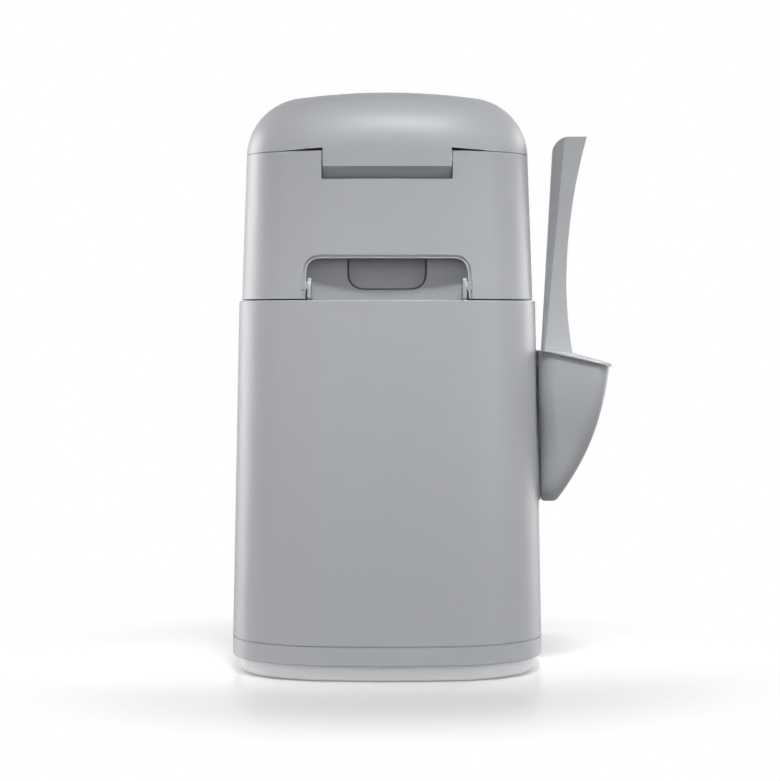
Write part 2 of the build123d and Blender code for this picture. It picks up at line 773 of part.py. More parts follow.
fixed_jaw_seal = slab(-jaw_half, jaw_half, fixed_jaw_front, jaw_line - jaw_gap, shutter_bottom, shutter_top)
fixed_jaw_seal.label = "fixed_jaw_seal"
export_step(fixed_jaw_seal, "parts/fixed_jaw_seal.step")

moving_jaw_seal = slab(-jaw_half, jaw_half, jaw_line + jaw_gap, jaw_line + seal_width, shutter_bottom,
                       shutter_top)
moving_jaw_seal.label = "moving_jaw_seal"
export_step(moving_jaw_seal, "parts/moving_jaw_seal.step")

spring_z = (frame_bottom + frame_wall + frame_top) / 2
handle_back = skirt_half - head_inset(shutter_bottom) + handle_gap
plate_front = handle_back + plate_seat
handle_screw_y = plate_front - plate_seat / 2
handle_screws = screws(Plane.XY.offset(handle_bottom),
                       [(-handle_half / 2, handle_screw_y), (handle_half / 2, handle_screw_y)],
                       handle_screw_length)

with BuildPart() as shutter_plate:
    with BuildSketch(Plane.XY.offset(shutter_bottom)):
        with Locations((0, (jaw_line + seal_width + plate_front) / 2)):
            Rectangle(2 * shutter_half, plate_front - jaw_line - seal_width)
        with Locations((0, jaw_line + seal_width + wing_depth / 2)):
            Rectangle(2 * wing_half, wing_depth)
    extrude(amount=shutter_wall)
    for side in (-1, 1):
        with BuildSketch(Plane.XY.offset(spring_z - spring_radius)):
            with Locations((side * spring_x, jaw_line + seal_width + wing_depth / 2)):
                Rectangle(2 * spring_radius, wing_depth)
        extrude(amount=2 * spring_radius)
    add(handle_screws, mode=Mode.SUBTRACT)
shutter_plate.part.label = "shutter_plate"
export_step(shutter_plate.part, "parts/shutter_plate.step")

with BuildPart() as return_springs:
    with BuildSketch(Plane.XZ.offset(-wing_front - spring_gap)):
        with Locations((-spring_x, spring_z), (spring_x, spring_z)):
            Circle(spring_radius)
            Circle(spring_radius - spring_wire, mode=Mode.SUBTRACT)
    extrude(amount=-(spring_stop - wing_front - spring_gap))
return_springs.part.label = "return_springs"
export_step(return_springs.part, "parts/return_springs.step")

# ---- Pull handle: a bowed bar on the end of the plate, hollow behind for the fingers ----
with BuildPart() as finger_room:
    with BuildSketch(Plane.XZ):
        with Locations((0, (handle_grip_bottom + handle_top + handle_corner) / 2)):
            RectangleRounded(2 * (handle_half - 2 * handle_corner),
                             handle_top + handle_corner - handle_grip_bottom, handle_corner / 2)
    extrude(amount=-front_limit - handle_depth)
    add(head_body(handle_bottom, handle_top, -handle_gap - handle_depth + handle_wall),
        mode=Mode.INTERSECT)

with BuildPart() as pull_handle:
    with BuildSketch(Plane.XZ):
        with Locations((0, (handle_bottom + handle_top) / 2)):
            RectangleRounded(2 * handle_half, handle_top - handle_bottom, handle_corner)
    extrude(amount=-front_limit - handle_depth)
    add(head_body(handle_bottom, handle_top, -handle_gap - handle_depth), mode=Mode.INTERSECT)
    add(head_body(handle_bottom, handle_top, -handle_gap), mode=Mode.SUBTRACT)
    fillet(pull_handle.faces().sort_by(Axis.Y)[-1].edges(), handle_edge)
    add(finger_room.part, mode=Mode.SUBTRACT)
    add(slab(-shutter_half, shutter_half, 0, plate_front, shutter_bottom, shutter_top), mode=Mode.SUBTRACT)
    add(handle_screws, mode=Mode.SUBTRACT)
pull_handle.part.label = "pull_handle"
export_step(pull_handle.part, "parts/pull_handle.step")
handle_screws.label = "handle_screws"
export_step(handle_screws, "parts/handle_screws.step")

# ---- Latch: button, stop flange and hook in one piece, pushed out by a spring ----
latch_mid = latch_bottom + latch_height / 2
nose_top = catch_bottom - catch_gap
with BuildPart() as stop_flange:
    with BuildSketch(Plane.XZ.offset(-latch_back - hook_wall)):
        with Locations((0, latch_mid)):
            Rectangle(2 * latch_half + 2 * hook_wall, latch_height + 2 * latch_stand)
    extrude(amount=-front_limit)
    add(head_body(hook_bottom, latch_mid + latch_height, shell_wall + latch_gap), mode=Mode.INTERSECT)

with BuildPart() as latch_button:
    with BuildSketch(Plane.XZ.offset(-latch_back)):
        with Locations((0, latch_mid)):
            RectangleRounded(2 * latch_half, latch_height, latch_corner)
    extrude(amount=-front_limit)
    add(head_body(hook_bottom, latch_mid + latch_height, -latch_stand), mode=Mode.INTERSECT)
    fillet(latch_button.faces().sort_by(Axis.Y)[-1].edges(), rim_edge)
    add(stop_flange.part)
    with BuildSketch(Plane.YZ.offset(-hook_half)):
        with BuildLine():
            Polyline(
                (latch_back, latch_mid),
                (latch_back, hook_bottom),
                (latch_back + hook_wall, hook_bottom),
                (latch_back + hook_wall + hook_nose, nose_top - 1),
                (latch_back + hook_wall + hook_nose, nose_top),
                (latch_back + hook_wall, nose_top),
                (latch_back + hook_wall, latch_mid),
                close=True,
            )
        make_face()
    extrude(amount=2 * hook_half)
latch_button.part.label = "latch_button"
export_step(latch_button.part, "parts/latch_button.step")

with BuildPart() as latch_spring:
    with BuildSketch(Plane.XZ.offset(-latch_back + spring_gap)):
        with Locations((0, latch_mid)):
            Circle(latch_spring_radius)
            Circle(latch_spring_radius - spring_wire, mode=Mode.SUBTRACT)
    extrude(amount=latch_spring_length - spring_gap)
latch_spring.part.label = "latch_spring"
export_step(latch_spring.part, "parts/latch_spring.step")


# ---- Lid: a crowned dome with broad shoulders, a back tab and a hinge barrel ----
lid_inset = head_inset(lid_bottom)


def lid_form(wall):
    """The dome, drawn in by a wall: drafted sides, a crowned top and a broad rounded shoulder"""
    top = overall_height + 2 * lid_wall
    draft = (top - lid_bottom) * tan(radians(lid_draft))
    with BuildPart() as dome:
        add(casing(lid_bottom, top, lid_inset + wall, lid_inset + wall + draft))
        with Locations((0, 0, overall_height - lid_crown_radius)):
            Sphere(lid_crown_radius - wall, mode=Mode.INTERSECT)
        fillet(dome.faces().sort_by(Axis.Z)[-1].edges(), lid_shoulder - wall)
    return dome.part


with BuildPart() as tab_skin:
    add(head_body(tab_bevel_top, lid_bottom, 0))
    add(casing(tab_bottom, tab_bevel_top, head_inset(tab_bottom) + tab_wall - tab_tip,
               head_inset(tab_bevel_top)))
    add(head_body(tab_bottom, lid_bottom, tab_wall), mode=Mode.SUBTRACT)
    add(slab(-tab_half, tab_half, back_limit, 0, tab_bottom, lid_bottom), mode=Mode.INTERSECT)

with BuildPart() as tab_web:
    add(slab(-tab_half, tab_half, back_limit, lid_hinge_y, lid_hinge_height - barrel_radius / 2,
             lid_hinge_height + barrel_radius / 2))
    add(head_body(tab_bottom, lid_bottom, tab_wall / 2), mode=Mode.INTERSECT)

with BuildPart() as lid_grip:
    add(slab(-grip_half, grip_half, 0, front_limit, lid_bottom, lid_bottom + grip_height))
    add(casing(lid_bottom, lid_bottom + grip_height, lid_inset - grip_reach, lid_inset - grip_reach),
        mode=Mode.INTERSECT)
    fillet(lid_grip.edges().filter_by(Axis.Z).group_by(Axis.Y)[-1], grip_reach - gasket_edge)

with BuildPart() as wedge:
    with BuildSketch(Plane.XZ):
        with BuildLine():
            Polyline(
                (tab_half, lid_bottom - lid_seam),
                (tab_half, lid_bottom + wedge_rise),
                (wedge_end, lid_bottom),
                (wedge_end, lid_bottom - lid_seam),
                close=True,
            )
        make_face()
    extrude(amount=-back_limit)
    mirror(about=Plane.YZ)

with BuildPart() as lid_shell:
    add(lid_form(0))
    add(lid_grip.part)
    add(lid_form(lid_wall), mode=Mode.SUBTRACT)
    add(wedge.part, mode=Mode.SUBTRACT)
    add(tab_skin.part)
    add(tab_web.part)
    add(rod(lid_hinge_y, lid_hinge_height, barrel_radius, -tab_half, tab_half))
    add(rod(lid_hinge_y, lid_hinge_height, lid_pin_radius + running_gap, -tab_half, tab_half),
        mode=Mode.SUBTRACT)
lid_shell.part.label = "lid_shell"
export_step(lid_shell.part, "parts/lid_shell.step")

lid_hinge_pin = rod(lid_hinge_y, lid_hinge_height, lid_pin_radius, -tab_slot_half - bracket_width,
                    tab_slot_half + bracket_width)
lid_hinge_pin.label = "lid_hinge_pin"
export_step(lid_hinge_pin, "parts/lid_hinge_pin.step")

# ---- Liner: a flat inner panel, the channel under it, and the gasket that closes on the collar ----
gasket_bottom = collar_top + gasket_gap
gasket_top = gasket_bottom + gasket_height
gasket_inner = well_inner + gasket_edge
gasket_outer = gasket_inner + gasket_width
gasket_corner = cartridge_corner + well_gap + gasket_edge
with BuildPart() as lid_liner:
    add(lid_form(lid_wall + liner_gap))
    split(bisect_by=Plane.XY.offset(liner_height), keep=Keep.BOTTOM)
    split(bisect_by=Plane.XY.offset(liner_bottom), keep=Keep.TOP)
lid_liner.part.label = "lid_liner"
export_step(lid_liner.part, "parts/lid_liner.step")

gasket_channel = ring(gasket_top, liner_bottom, gasket_inner + gasket_edge, gasket_outer - gasket_edge,
                      gasket_corner + gasket_edge, gasket_corner + gasket_width - gasket_edge)
gasket_channel.label = "gasket_channel"
export_step(gasket_channel, "parts/gasket_channel.step")

lid_gasket = ring(gasket_bottom, gasket_top, gasket_inner, gasket_outer, gasket_corner,
                  gasket_corner + gasket_width)
lid_gasket.label = "lid_gasket"
export_step(lid_gasket, "parts/lid_gasket.step")

# ---- Film cutter: a slotted block screwed to the bin's side wall, with a blade across the slot ----
slot_x = -cutter_face - cutter_depth / 2
with BuildPart() as cutter_blade:
    with BuildSketch(Plane.XZ.offset(-blade_length / 2)):
        with Locations((slot_x, cutter_top - cutter_slot_depth)):
            Rectangle(blade_width, blade_wall, rotation=45)
    extrude(amount=blade_length)
cutter_blade.part.label = "cutter_blade"
export_step(cutter_blade.part, "parts/cutter_blade.step")

with BuildPart() as cutter_housing:
    add(slab(-skirt_half, -cutter_face, -cutter_length / 2, cutter_length / 2, cutter_bottom, cutter_top))
    add(bin_body(cutter_bottom, cutter_top, shell_wall), mode=Mode.INTERSECT)
    add(slab(slot_x - cutter_slot / 2, slot_x + cutter_slot / 2, -cutter_length, cutter_length,
             cutter_top - cutter_slot_depth - cutter_slot, cutter_top), mode=Mode.SUBTRACT)
    add(cutter_blade.part, mode=Mode.SUBTRACT)
    add(cutter_screws, mode=Mode.SUBTRACT)
cutter_housing.part.label = "cutter_housing"
export_step(cutter_housing.part, "parts/cutter_housing.step")
cutter_screws.label = "cutter_screws"
export_step(cutter_screws, "parts/cutter_screws.step")

# ---- Holder bracket: a thin plate on the bin's side with a T-shaped rail ----
with BuildPart() as holder_bracket:
    add(slab(0, skirt_half, -bracket_half, bracket_half, bracket_bottom, bracket_top))
    add(bin_body(bracket_bottom, bracket_top, -bracket_wall), mode=Mode.INTERSECT)
    add(slab(0, rail_reach, -rail_neck_half, rail_neck_half, rail_bottom, rail_top))
    add(slab(rail_reach - rail_lip, rail_reach, -rail_half, rail_half, rail_bottom, rail_top))
    add(bin_body(skirt_bottom, bin_top, 0), mode=Mode.SUBTRACT)
    add(bracket_screws, mode=Mode.SUBTRACT)
holder_bracket.part.label = "holder_bracket"
export_step(holder_bracket.part, "parts/holder_bracket.step")
bracket_screws.label = "bracket_screws"
export_step(bracket_screws, "parts/bracket_screws.step")

# ---- Scoop holder and scoop ----
form_top = holder_rim_back + 2 * roof_rise
side_centre = skirt_half - side_radius
form_levels = (0, 0.07, 0.22, 0.5, 0.75, 1)
rim_plane = Plane(
    origin=(bin_top_half, 0, holder_rim_back),
    x_dir=(cos(radians(holder_rim_slope)), 0, -sin(radians(holder_rim_slope))),
    z_dir=(sin(radians(holder_rim_slope)), 0, cos(radians(holder_rim_slope))),
)


def pocket_section(height, share, inset):
    """Plan of the holder at a height: back bowed like the bin, bulging front, rounded corners"""
    bow = side_radius - bin_inset(height) + holder_back_gap + inset
    half = holder_foot_half + (holder_top_half - holder_foot_half) * sqrt(1 - (1 - share) ** 2) - inset
    outer = holder_arc_x + sqrt(holder_arc_radius**2 - (height - holder_arc_z) ** 2) - inset
    back_mid = side_centre + bow
    back_edge = side_centre + sqrt(bow**2 - half**2)
    bulge = min(holder_bulge, (outer - back_mid) / 4)
    with BuildSketch(Plane.XY.offset(height)) as outline:
        with BuildLine():
            ThreePointArc((back_edge, -half), (back_mid, 0), (back_edge, half))
            Line((back_edge, half), (outer - bulge, half))
            ThreePointArc((outer - bulge, half), (outer, 0), (outer - bulge, -half))
            Line((outer - bulge, -half), (back_edge, -half))
        make_face()
        fillet(outline.vertices(), min(holder_edge - inset, holder_edge_share * (outer - back_mid)))
    return outline.sketch


def pocket_form(inset):
    """The tapering form that the holder and the scoop's bowl share, drawn in by an inset"""
    low = holder_bottom + inset
    with BuildPart() as form:
        for share in form_levels:
            add(pocket_section(low + share * (form_top - low), share, inset))
        loft()
    return form.part


slot_neck = rail_neck_half + rail_gap
slot_lip = rail_half + rail_gap
slot_reach = rail_reach + rail_gap
with BuildPart() as rail_cover:
    add(slab(0, slot_reach + holder_wall, -slot_lip - holder_wall, slot_lip + holder_wall, holder_bottom,
             rail_top + rail_gap + holder_wall))
    add(pocket_form(holder_wall / 2), mode=Mode.INTERSECT)

with BuildPart() as scoop_holder:
    add(pocket_form(0))
    fillet(scoop_holder.faces().sort_by(Axis.Z)[0].edges(), holder_nose)
    add(pocket_form(holder_wall), mode=Mode.SUBTRACT)
    add(rail_cover.part)
    add(slab(0, slot_reach, -slot_neck, slot_neck, 0, rail_top + rail_gap), mode=Mode.SUBTRACT)
    add(slab(rail_reach - rail_lip - rail_gap, slot_reach, -slot_lip, slot_lip, 0, rail_top + rail_gap),
        mode=Mode.SUBTRACT)
    split(bisect_by=rim_plane, keep=Keep.BOTTOM)
scoop_holder.part.label = "scoop_holder"
export_step(scoop_holder.part, "parts/scoop_holder.step")

# ---- Scoop: a slotted bowl that hangs by its flange, and a channel-shaped handle ----
bowl_plane_x = slot_reach + holder_wall + bowl_gap
flange_plane = rim_plane.offset(flange_gap)
bowl_inset = holder_wall + bowl_gap
roof_plane = Plane(
    origin=(handle_root_x, 0, roof_height),
    x_dir=(cos(radians(roof_slope)), 0, -sin(radians(roof_slope))),
    z_dir=(sin(radians(roof_slope)), 0, cos(radians(roof_slope))),
)
plateau_plane = Plane(
    origin=(handle_root_x, 0, roof_height),
    x_dir=(cos(radians(roof_plateau)), 0, -sin(radians(roof_plateau))),
    z_dir=(sin(radians(roof_plateau)), 0, cos(radians(roof_plateau))),
)


def handle_side(grow, out):
    """The handle seen from the side: straight grip face, bowed back and a rounded heel at the top"""
    grip = handle_grip_x + grow
    foot = handle_foot_x + grow
    top = scoop_handle_top - grow
    tip = handle_tip_x + out
    waist = handle_waist_x + out
    root = handle_root_x + out
    with BuildSketch(Plane.XZ) as side:
        with BuildLine():
            Line((foot, handle_foot_z), (grip, handle_heel_z))
            ThreePointArc((grip, handle_heel_z), (grip + heel_radius / 4, (handle_heel_z + 2 * top) / 3),
                          (grip + heel_radius, top))
            Line((grip + heel_radius, top), (tip, top))
            ThreePointArc((tip, top), ((tip + waist) / 2 - handle_sag, (top + handle_waist_z) / 2),
                          (waist, handle_waist_z))
            ThreePointArc((waist, handle_waist_z), ((waist + root) / 2 - handle_flare,
                          (handle_waist_z + handle_foot_z) / 2), (root, handle_foot_z))
            Line((root, handle_foot_z), (foot, handle_foot_z))
        make_face()
    return side.sketch


def facet_plane(side):
    """A slanting facet along the grip, wide at the top and narrow at the foot, on one side"""
    foot = Vector(handle_foot_x + facet_foot, side * scoop_handle_half, handle_foot_z)
    head = Vector(handle_grip_x + facet_head, side * scoop_handle_half, handle_heel_z)
    along = (head - foot).normalized()
    across = Vector(-1, -side, 0).normalized()
    return Plane(origin=foot, x_dir=along, z_dir=along.cross(across).normalized() * side)


def hip_plane(side):
    """One side slope of the scoop's roof, rising from the flange's rim to the handle"""
    lean = radians(hip_slope)
    down = radians(holder_rim_slope)
    across = (0, side * cos(lean), -sin(lean))
    edge = (bin_top_half, side * (holder_top_half + flange_reach), holder_rim_back + flange_wall)
    up = (sin(down) * cos(lean), side * sin(lean), cos(down) * cos(lean))
    return Plane(origin=edge, x_dir=across, z_dir=up)


def roof_form(inset, drop):
    """The scoop's hipped roof over the holder, drawn in by an inset and lowered by a drop"""
    with BuildPart() as form:
        add(pocket_form(inset))
        split(bisect_by=flange_plane, keep=Keep.TOP)
        for slope in (roof_plane, plateau_plane):
            split(bisect_by=slope.offset(-drop), keep=Keep.BOTTOM)
        for side in (-1, 1):
            split(bisect_by=hip_plane(side).offset(-drop), keep=Keep.BOTTOM)
        split(bisect_by=Plane.YZ.offset(roof_back), keep=Keep.TOP)
    return form.part


with BuildPart() as handle_bar:
    add(handle_side(0, 0).moved(Location((0, scoop_handle_half, 0))))
    extrude(amount=2 * scoop_handle_half, dir=(0, -1, 0))
    for side in (-1, 1):
        split(bisect_by=facet_plane(side), keep=Keep.TOP)

with BuildPart() as handle_hollow:
    add(handle_side(scoop_handle_wall, handle_open).moved(
        Location((0, scoop_handle_half - scoop_handle_wall, 0))))
    extrude(amount=2 * (scoop_handle_half - scoop_handle_wall), dir=(0, -1, 0))
    for side in (-1, 1):
        split(bisect_by=facet_plane(side).offset(scoop_handle_wall), keep=Keep.TOP)
    split(bisect_by=plateau_plane, keep=Keep.TOP)

with BuildPart() as scoop:
    add(pocket_form(bowl_inset))
    split(bisect_by=flange_plane.offset(flange_wall), keep=Keep.BOTTOM)
    add(pocket_form(bowl_inset + bowl_wall), mode=Mode.SUBTRACT)
    split(bisect_by=Plane.YZ.offset(bowl_plane_x), keep=Keep.TOP)
    with BuildSketch(Plane.YZ.offset(bowl_plane_x)):
        with GridLocations(slot_pitch, 0, slot_count, 1):
            with Locations((0, (slots_bottom + slots_top) / 2)):
                SlotOverall(slots_top - slots_bottom, slot_width, rotation=90)
    extrude(amount=holder_arc_radius, mode=Mode.SUBTRACT)
    add(roof_form(-flange_reach, 0))
    add(roof_form(bowl_inset + bowl_wall, flange_wall), mode=Mode.SUBTRACT)
    add(handle_bar.part)
    add(handle_hollow.part, mode=Mode.SUBTRACT)
scoop.part.label = "scoop"
export_step(scoop.part, "parts/scoop.step")
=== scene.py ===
# %% [markdown]
# # A litter disposal pail, dressed around its CAD solids
# The solids give every size and every joint. This script adds what a solid alone doesn't have: the finish
# of moulded plastic, coiled springs, film with folds, screw recesses, light and a camera. Each step comes
# with a few sentences on what the thing is and how it is made here.

# %% Load the solids
import bpy
import bmesh
import json
import math
import random
from mathutils import Matrix, Vector, noise


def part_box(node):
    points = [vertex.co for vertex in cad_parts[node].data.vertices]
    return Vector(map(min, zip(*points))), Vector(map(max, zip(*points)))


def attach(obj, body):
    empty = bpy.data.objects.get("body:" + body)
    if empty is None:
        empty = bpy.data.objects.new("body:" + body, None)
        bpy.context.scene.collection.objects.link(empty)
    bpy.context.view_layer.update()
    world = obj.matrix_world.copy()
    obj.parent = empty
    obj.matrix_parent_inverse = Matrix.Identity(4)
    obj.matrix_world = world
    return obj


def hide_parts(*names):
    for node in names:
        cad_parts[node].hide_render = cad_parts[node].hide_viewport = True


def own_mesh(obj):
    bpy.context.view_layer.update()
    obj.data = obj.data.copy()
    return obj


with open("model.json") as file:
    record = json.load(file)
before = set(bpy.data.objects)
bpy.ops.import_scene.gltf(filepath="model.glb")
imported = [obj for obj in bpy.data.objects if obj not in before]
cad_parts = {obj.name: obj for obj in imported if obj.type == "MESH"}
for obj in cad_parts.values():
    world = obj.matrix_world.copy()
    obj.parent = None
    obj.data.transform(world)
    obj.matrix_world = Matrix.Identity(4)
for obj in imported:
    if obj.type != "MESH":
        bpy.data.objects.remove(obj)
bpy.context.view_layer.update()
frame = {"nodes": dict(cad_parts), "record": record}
nodes = frame["nodes"]
MM = 0.001


def add_object(name, data):
    """Make an object from a mesh, a lamp or a camera and put it in the scene"""
    made = bpy.data.objects.new(name, data)
    bpy.context.scene.collection.objects.link(made)
    return made


# %% [markdown]
# ## Camera
# The photograph was taken from about two metres behind the pail, with a long lens a little over half way
# up, tipped down by one and a half degrees. The lens and the distance come from how much the base, the
# split line and the lid curve and narrow with depth. A camera needs a place, a turn and a focal length.

# %% Camera
CAMERA_PLACE = Vector((2.1, -2000.0, 257.2)) * MM
CAMERA_DOWN = math.radians(1.425)
camera_data = bpy.data.cameras.new("camera")
camera_data.lens = 121.4
camera_data.sensor_width = 36.0
camera_data.clip_start = 0.05
camera = add_object("camera", camera_data)
camera.location = CAMERA_PLACE
camera.rotation_euler = (math.pi / 2 - CAMERA_DOWN, 0, 0)
bpy.context.scene.camera = camera
print("camera", round(-CAMERA_PLACE.y, 2), "m away")

# %% [markdown]
# ## Shader maths as Python
# A material is a graph of nodes. Written out link by link it is long and hard to read, so a small class
# wraps a node's output and gives it the signs of arithmetic: `1 - mask` adds a Math node. Every other
# node comes from one method, which takes the node's type, its settings and what goes into its sockets.

# %% Sockets with arithmetic, and a material maker
class Wire:
    """A node's output that can be added, subtracted and multiplied"""

    def __init__(self, finish, socket):
        self.finish = finish
        self.socket = socket

    def maths(self, operation, first, second):
        return self.finish.node("ShaderNodeMath", {"operation": operation}, {0: first, 1: second})

    def __add__(self, other):
        return self.maths("ADD", self, other)

    def __radd__(self, other):
        return self.maths("ADD", other, self)

    def __sub__(self, other):
        return self.maths("SUBTRACT", self, other)

    def __rsub__(self, other):
        return self.maths("SUBTRACT", other, self)

    def __mul__(self, other):
        return self.maths("MULTIPLY", self, other)

    def __rmul__(self, other):
        return self.maths("MULTIPLY", other, self)


class Finish:
    """A material under construction, with one surface shader"""

    def __init__(self, name, **surface):
        self.material = bpy.data.materials.new(name)
        self.material.use_nodes = True
        self.tree = self.material.node_tree
        self.shader = self.tree.nodes["Principled BSDF"]
        for socket, value in surface.items():
            self.shader.inputs[socket.replace("_", " ")].default_value = value

    def node(self, kind, settings=None, sockets=None, output=0):
        """Add a node: settings first, then values or links into its sockets; gives back one output"""
        made = self.tree.nodes.new(kind)
        for key, value in (settings or {}).items():
            setattr(made, key, value)
        for key, value in (sockets or {}).items():
            self.feed(made.inputs[key], value)
        return Wire(self, made.outputs[output])

    def feed(self, socket, value):
        """Put a number, a colour or a link into a socket"""
        if isinstance(value, Wire):
            self.tree.links.new(value.socket, socket)
        elif isinstance(value, (tuple, list)) and socket.type == "RGBA":
            socket.default_value = (*value, 1)
        else:
            socket.default_value = value

    def surface(self, **links):
        """Link what varies over the surface into the shader"""
        for socket, value in links.items():
            self.feed(self.shader.inputs[socket.replace("_", " ")], value)

    def place(self):
        """Where a point is on the piece, in metres"""
        return self.node("ShaderNodeTexCoord", output="Object")

    def cloud(self, scale, detail=3.0, roughness=0.5, stretch=None):
        """Soft noise with a number of lumps per metre, stretched if asked"""
        place = self.place()
        if stretch:
            place = self.node("ShaderNodeMapping", None, {"Vector": place, "Scale": stretch})
        return self.node("ShaderNodeTexNoise", None,
                         {"Vector": place, "Scale": scale, "Detail": detail, "Roughness": roughness})

    def blend(self, share, first, second):
        """Mix two colours by a share"""
        made = self.tree.nodes.new("ShaderNodeMix")
        made.data_type = "RGBA"
        for index, value in ((0, share), (6, first), (7, second)):
            self.feed(made.inputs[index], value)
        return Wire(self, made.outputs[2])

    def edges(self, radius):
        """A mask that is 1 on sharp edges and 0 on flats, from how far a rounded normal turns"""
        rounded = self.node("ShaderNodeBevel", {"samples": 4}, {"Radius": radius})
        true = self.node("ShaderNodeNewGeometry", output="Normal")
        same = self.node("ShaderNodeVectorMath", {"operation": "DOT_PRODUCT"}, {0: rounded, 1: true},
                         output="Value")
        return self.node("ShaderNodeMath", {"operation": "MULTIPLY", "use_clamp": True},
                         {0: 1 - same, 1: 6.0})

    def relief(self, height, strength, distance):
        """Turn a height into a bumped normal"""
        return self.node("ShaderNodeBump", None,
                         {"Strength": strength, "Distance": distance, "Height": height})


# %% [markdown]
# ## Moulded plastic
# The pail is injection moulded in grey polypropylene. Real mouldings have a spark-eroded grain, very
# faint clouds where the melt cooled unevenly, a little dust and rub marks, and edges polished by hands.
# The grain is bump from fine noise, the clouds move the colour by a few percent, and the roughness
# varies with both. Edges are found by comparing the true normal with a rounded one.

# %% Plastic finish
def tint(red, green, blue):
    """A colour as the eye sees it, 0 to 255, as the light values that shaders use"""
    return tuple(((v / 255 + 0.055) / 1.055) ** 2.4 for v in (red, green, blue))


def plastic(name, colour, roughness=0.42, grain=0.10, wear=0.10, pitch=1500.0):
    """Grained, slightly clouded plastic, paler and smoother on its edges"""
    finish = Finish(name, Specular_IOR_Level=0.45)
    clouds = finish.cloud(7.0, 4.0, 0.55)
    speckle = finish.cloud(pitch, 2.0, 0.6)
    rubs = finish.cloud(60.0, 5.0, 0.7, stretch=(1.0, 1.0, 0.25))
    edge = finish.edges(1.2 * MM)
    dark = tuple(v * 0.955 for v in colour)
    pale = tuple(min(1.0, v * 1.04) for v in colour)
    worn = tuple(min(1.0, v * 1.25 + 0.02) for v in colour)
    body = finish.blend(clouds, dark, pale)
    finish.surface(
        Base_Color=finish.blend(edge * wear, body, worn),
        Roughness=roughness + 0.10 * (rubs - 0.5) + 0.06 * (clouds - 0.5) - 0.06 * edge,
        Normal=finish.relief(speckle, grain, 0.1 * MM),
    )
    return finish.material


finishes = {
    "shell_grey": plastic("shell_plastic", tint(173, 175, 179)),
    # The plinth is a paler plastic than the shell, and its colour is made paler still as painted light: it
    # stands for the light that the white floor throws up onto the plinth.
    "plinth_grey": plastic("plinth_plastic_and_painted_floor_light", tint(232, 233, 235), roughness=0.5),
    "holder_grey": plastic("holder_plastic", tint(172, 174, 178)),
    "scoop_grey": plastic("scoop_plastic", tint(192, 194, 197), roughness=0.36, grain=0.06),
    "inner_grey": plastic("inner_plastic", tint(146, 148, 152), roughness=0.5),
    "slide_white": plastic("slide_plastic", tint(214, 214, 212), roughness=0.34, grain=0.05),
    "cartridge_blue": plastic("cartridge_plastic", tint(84, 124, 168), roughness=0.36, grain=0.05),
}
print(len(finishes), "plastics")

# %% [markdown]
# ## Rubber, steel and film
# The feet and seals are moulded rubber: dark, matt and slightly dusty. Screws, pins and the cutter's
# blade are zinc plated steel with fine brushing; the springs are darker drawn wire. The bag film is
# thin milky plastic that lets some light through, with fine wrinkles in its normal.

# %% Rubber, steel and film finishes
def rubber(name, colour):
    """Matt rubber with pale dust in its hollows"""
    finish = Finish(name, Specular_IOR_Level=0.35)
    dust = finish.cloud(90.0, 5.0, 0.7)
    dusty = tuple(v * 1.8 + 0.02 for v in colour)
    finish.surface(
        Base_Color=finish.blend(dust * 0.5, colour, dusty),
        Roughness=0.68 + 0.2 * (dust - 0.5),
        Normal=finish.relief(finish.cloud(1800.0, 2.0), 0.12, 0.1 * MM),
    )
    return finish.material


def steel(name, colour, roughness, stretch):
    """Plated or drawn steel with fine lines along one way"""
    finish = Finish(name, Metallic=1.0)
    lines = finish.cloud(900.0, 3.0, 0.6, stretch=stretch)
    spots = finish.cloud(120.0, 4.0, 0.6)
    dull = tuple(v * 0.8 for v in colour)
    finish.surface(
        Base_Color=finish.blend(spots * 0.6, colour, dull),
        Roughness=roughness + 0.16 * (lines - 0.5) + 0.08 * (spots - 0.5),
        Normal=finish.relief(lines, 0.08, 0.1 * MM),
    )
    return finish.material


def film(name, colour):
    """Thin milky film with fine wrinkles"""
    finish = Finish(name, Transmission_Weight=0.25, IOR=1.35, Specular_IOR_Level=0.5)
    wrinkles = finish.cloud(140.0, 6.0, 0.65, stretch=(1.0, 1.0, 0.3))
    folds = finish.cloud(30.0, 3.0, 0.5)
    deep = tuple(v * 0.86 for v in colour)
    finish.surface(
        Base_Color=finish.blend(folds, deep, colour),
        Roughness=0.24 + 0.14 * wrinkles,
        Normal=finish.relief(wrinkles, 0.35, 0.6 * MM),
    )
    return finish.material


finishes["rubber_black"] = rubber("feet_rubber", tint(38, 38, 39))
finishes["seal_grey"] = rubber("seal_rubber", tint(92, 93, 95))
finishes["steel"] = steel("plated_steel", tint(200, 200, 198), 0.3, (1.0, 1.0, 0.1))
finishes["spring_steel"] = steel("spring_wire", tint(165, 165, 166), 0.26, (1.0, 0.1, 1.0))
finishes["film_white"] = film("bag_film", tint(228, 232, 236))
print(len(finishes), "finishes in all")

# %% [markdown]
# ## Dressing the solids
# A solid that already has the right form keeps it. Its facets are welded, its sharp edges get the small
# radius that every mould has, and its normals are weighted so that flats stay flat. Modifiers do this
# without touching the mesh. Each solid then gets the finish that its record names.

# %% Round the edges of the solids and give them their finish
SOFT_EDGE = {"scoop": 1.1, "scoop_holder": 0.8, "lid_shell": 0.5, "head_shell": 0.45, "bin_shell": 0.4,
             "base_plinth": 0.5, "latch_button": 0.4, "pull_handle": 0.6}
TINY_EDGE = 0.25


def soften(solid, radius):
    """Weld a solid, round its sharp edges by a radius in millimetres and weight its normals"""
    weld = solid.modifiers.new("weld", "WELD")
    weld.merge_threshold = 0.005 * MM
    bevel = solid.modifiers.new("edge", "BEVEL")
    bevel.width = radius * MM
    bevel.segments = 2
    bevel.limit_method = "ANGLE"
    bevel.angle_limit = math.radians(32)
    bevel.harden_normals = True
    bevel.use_clamp_overlap = True
    normals = solid.modifiers.new("normals", "WEIGHTED_NORMAL")
    normals.keep_sharp = True
    normals.weight = 60


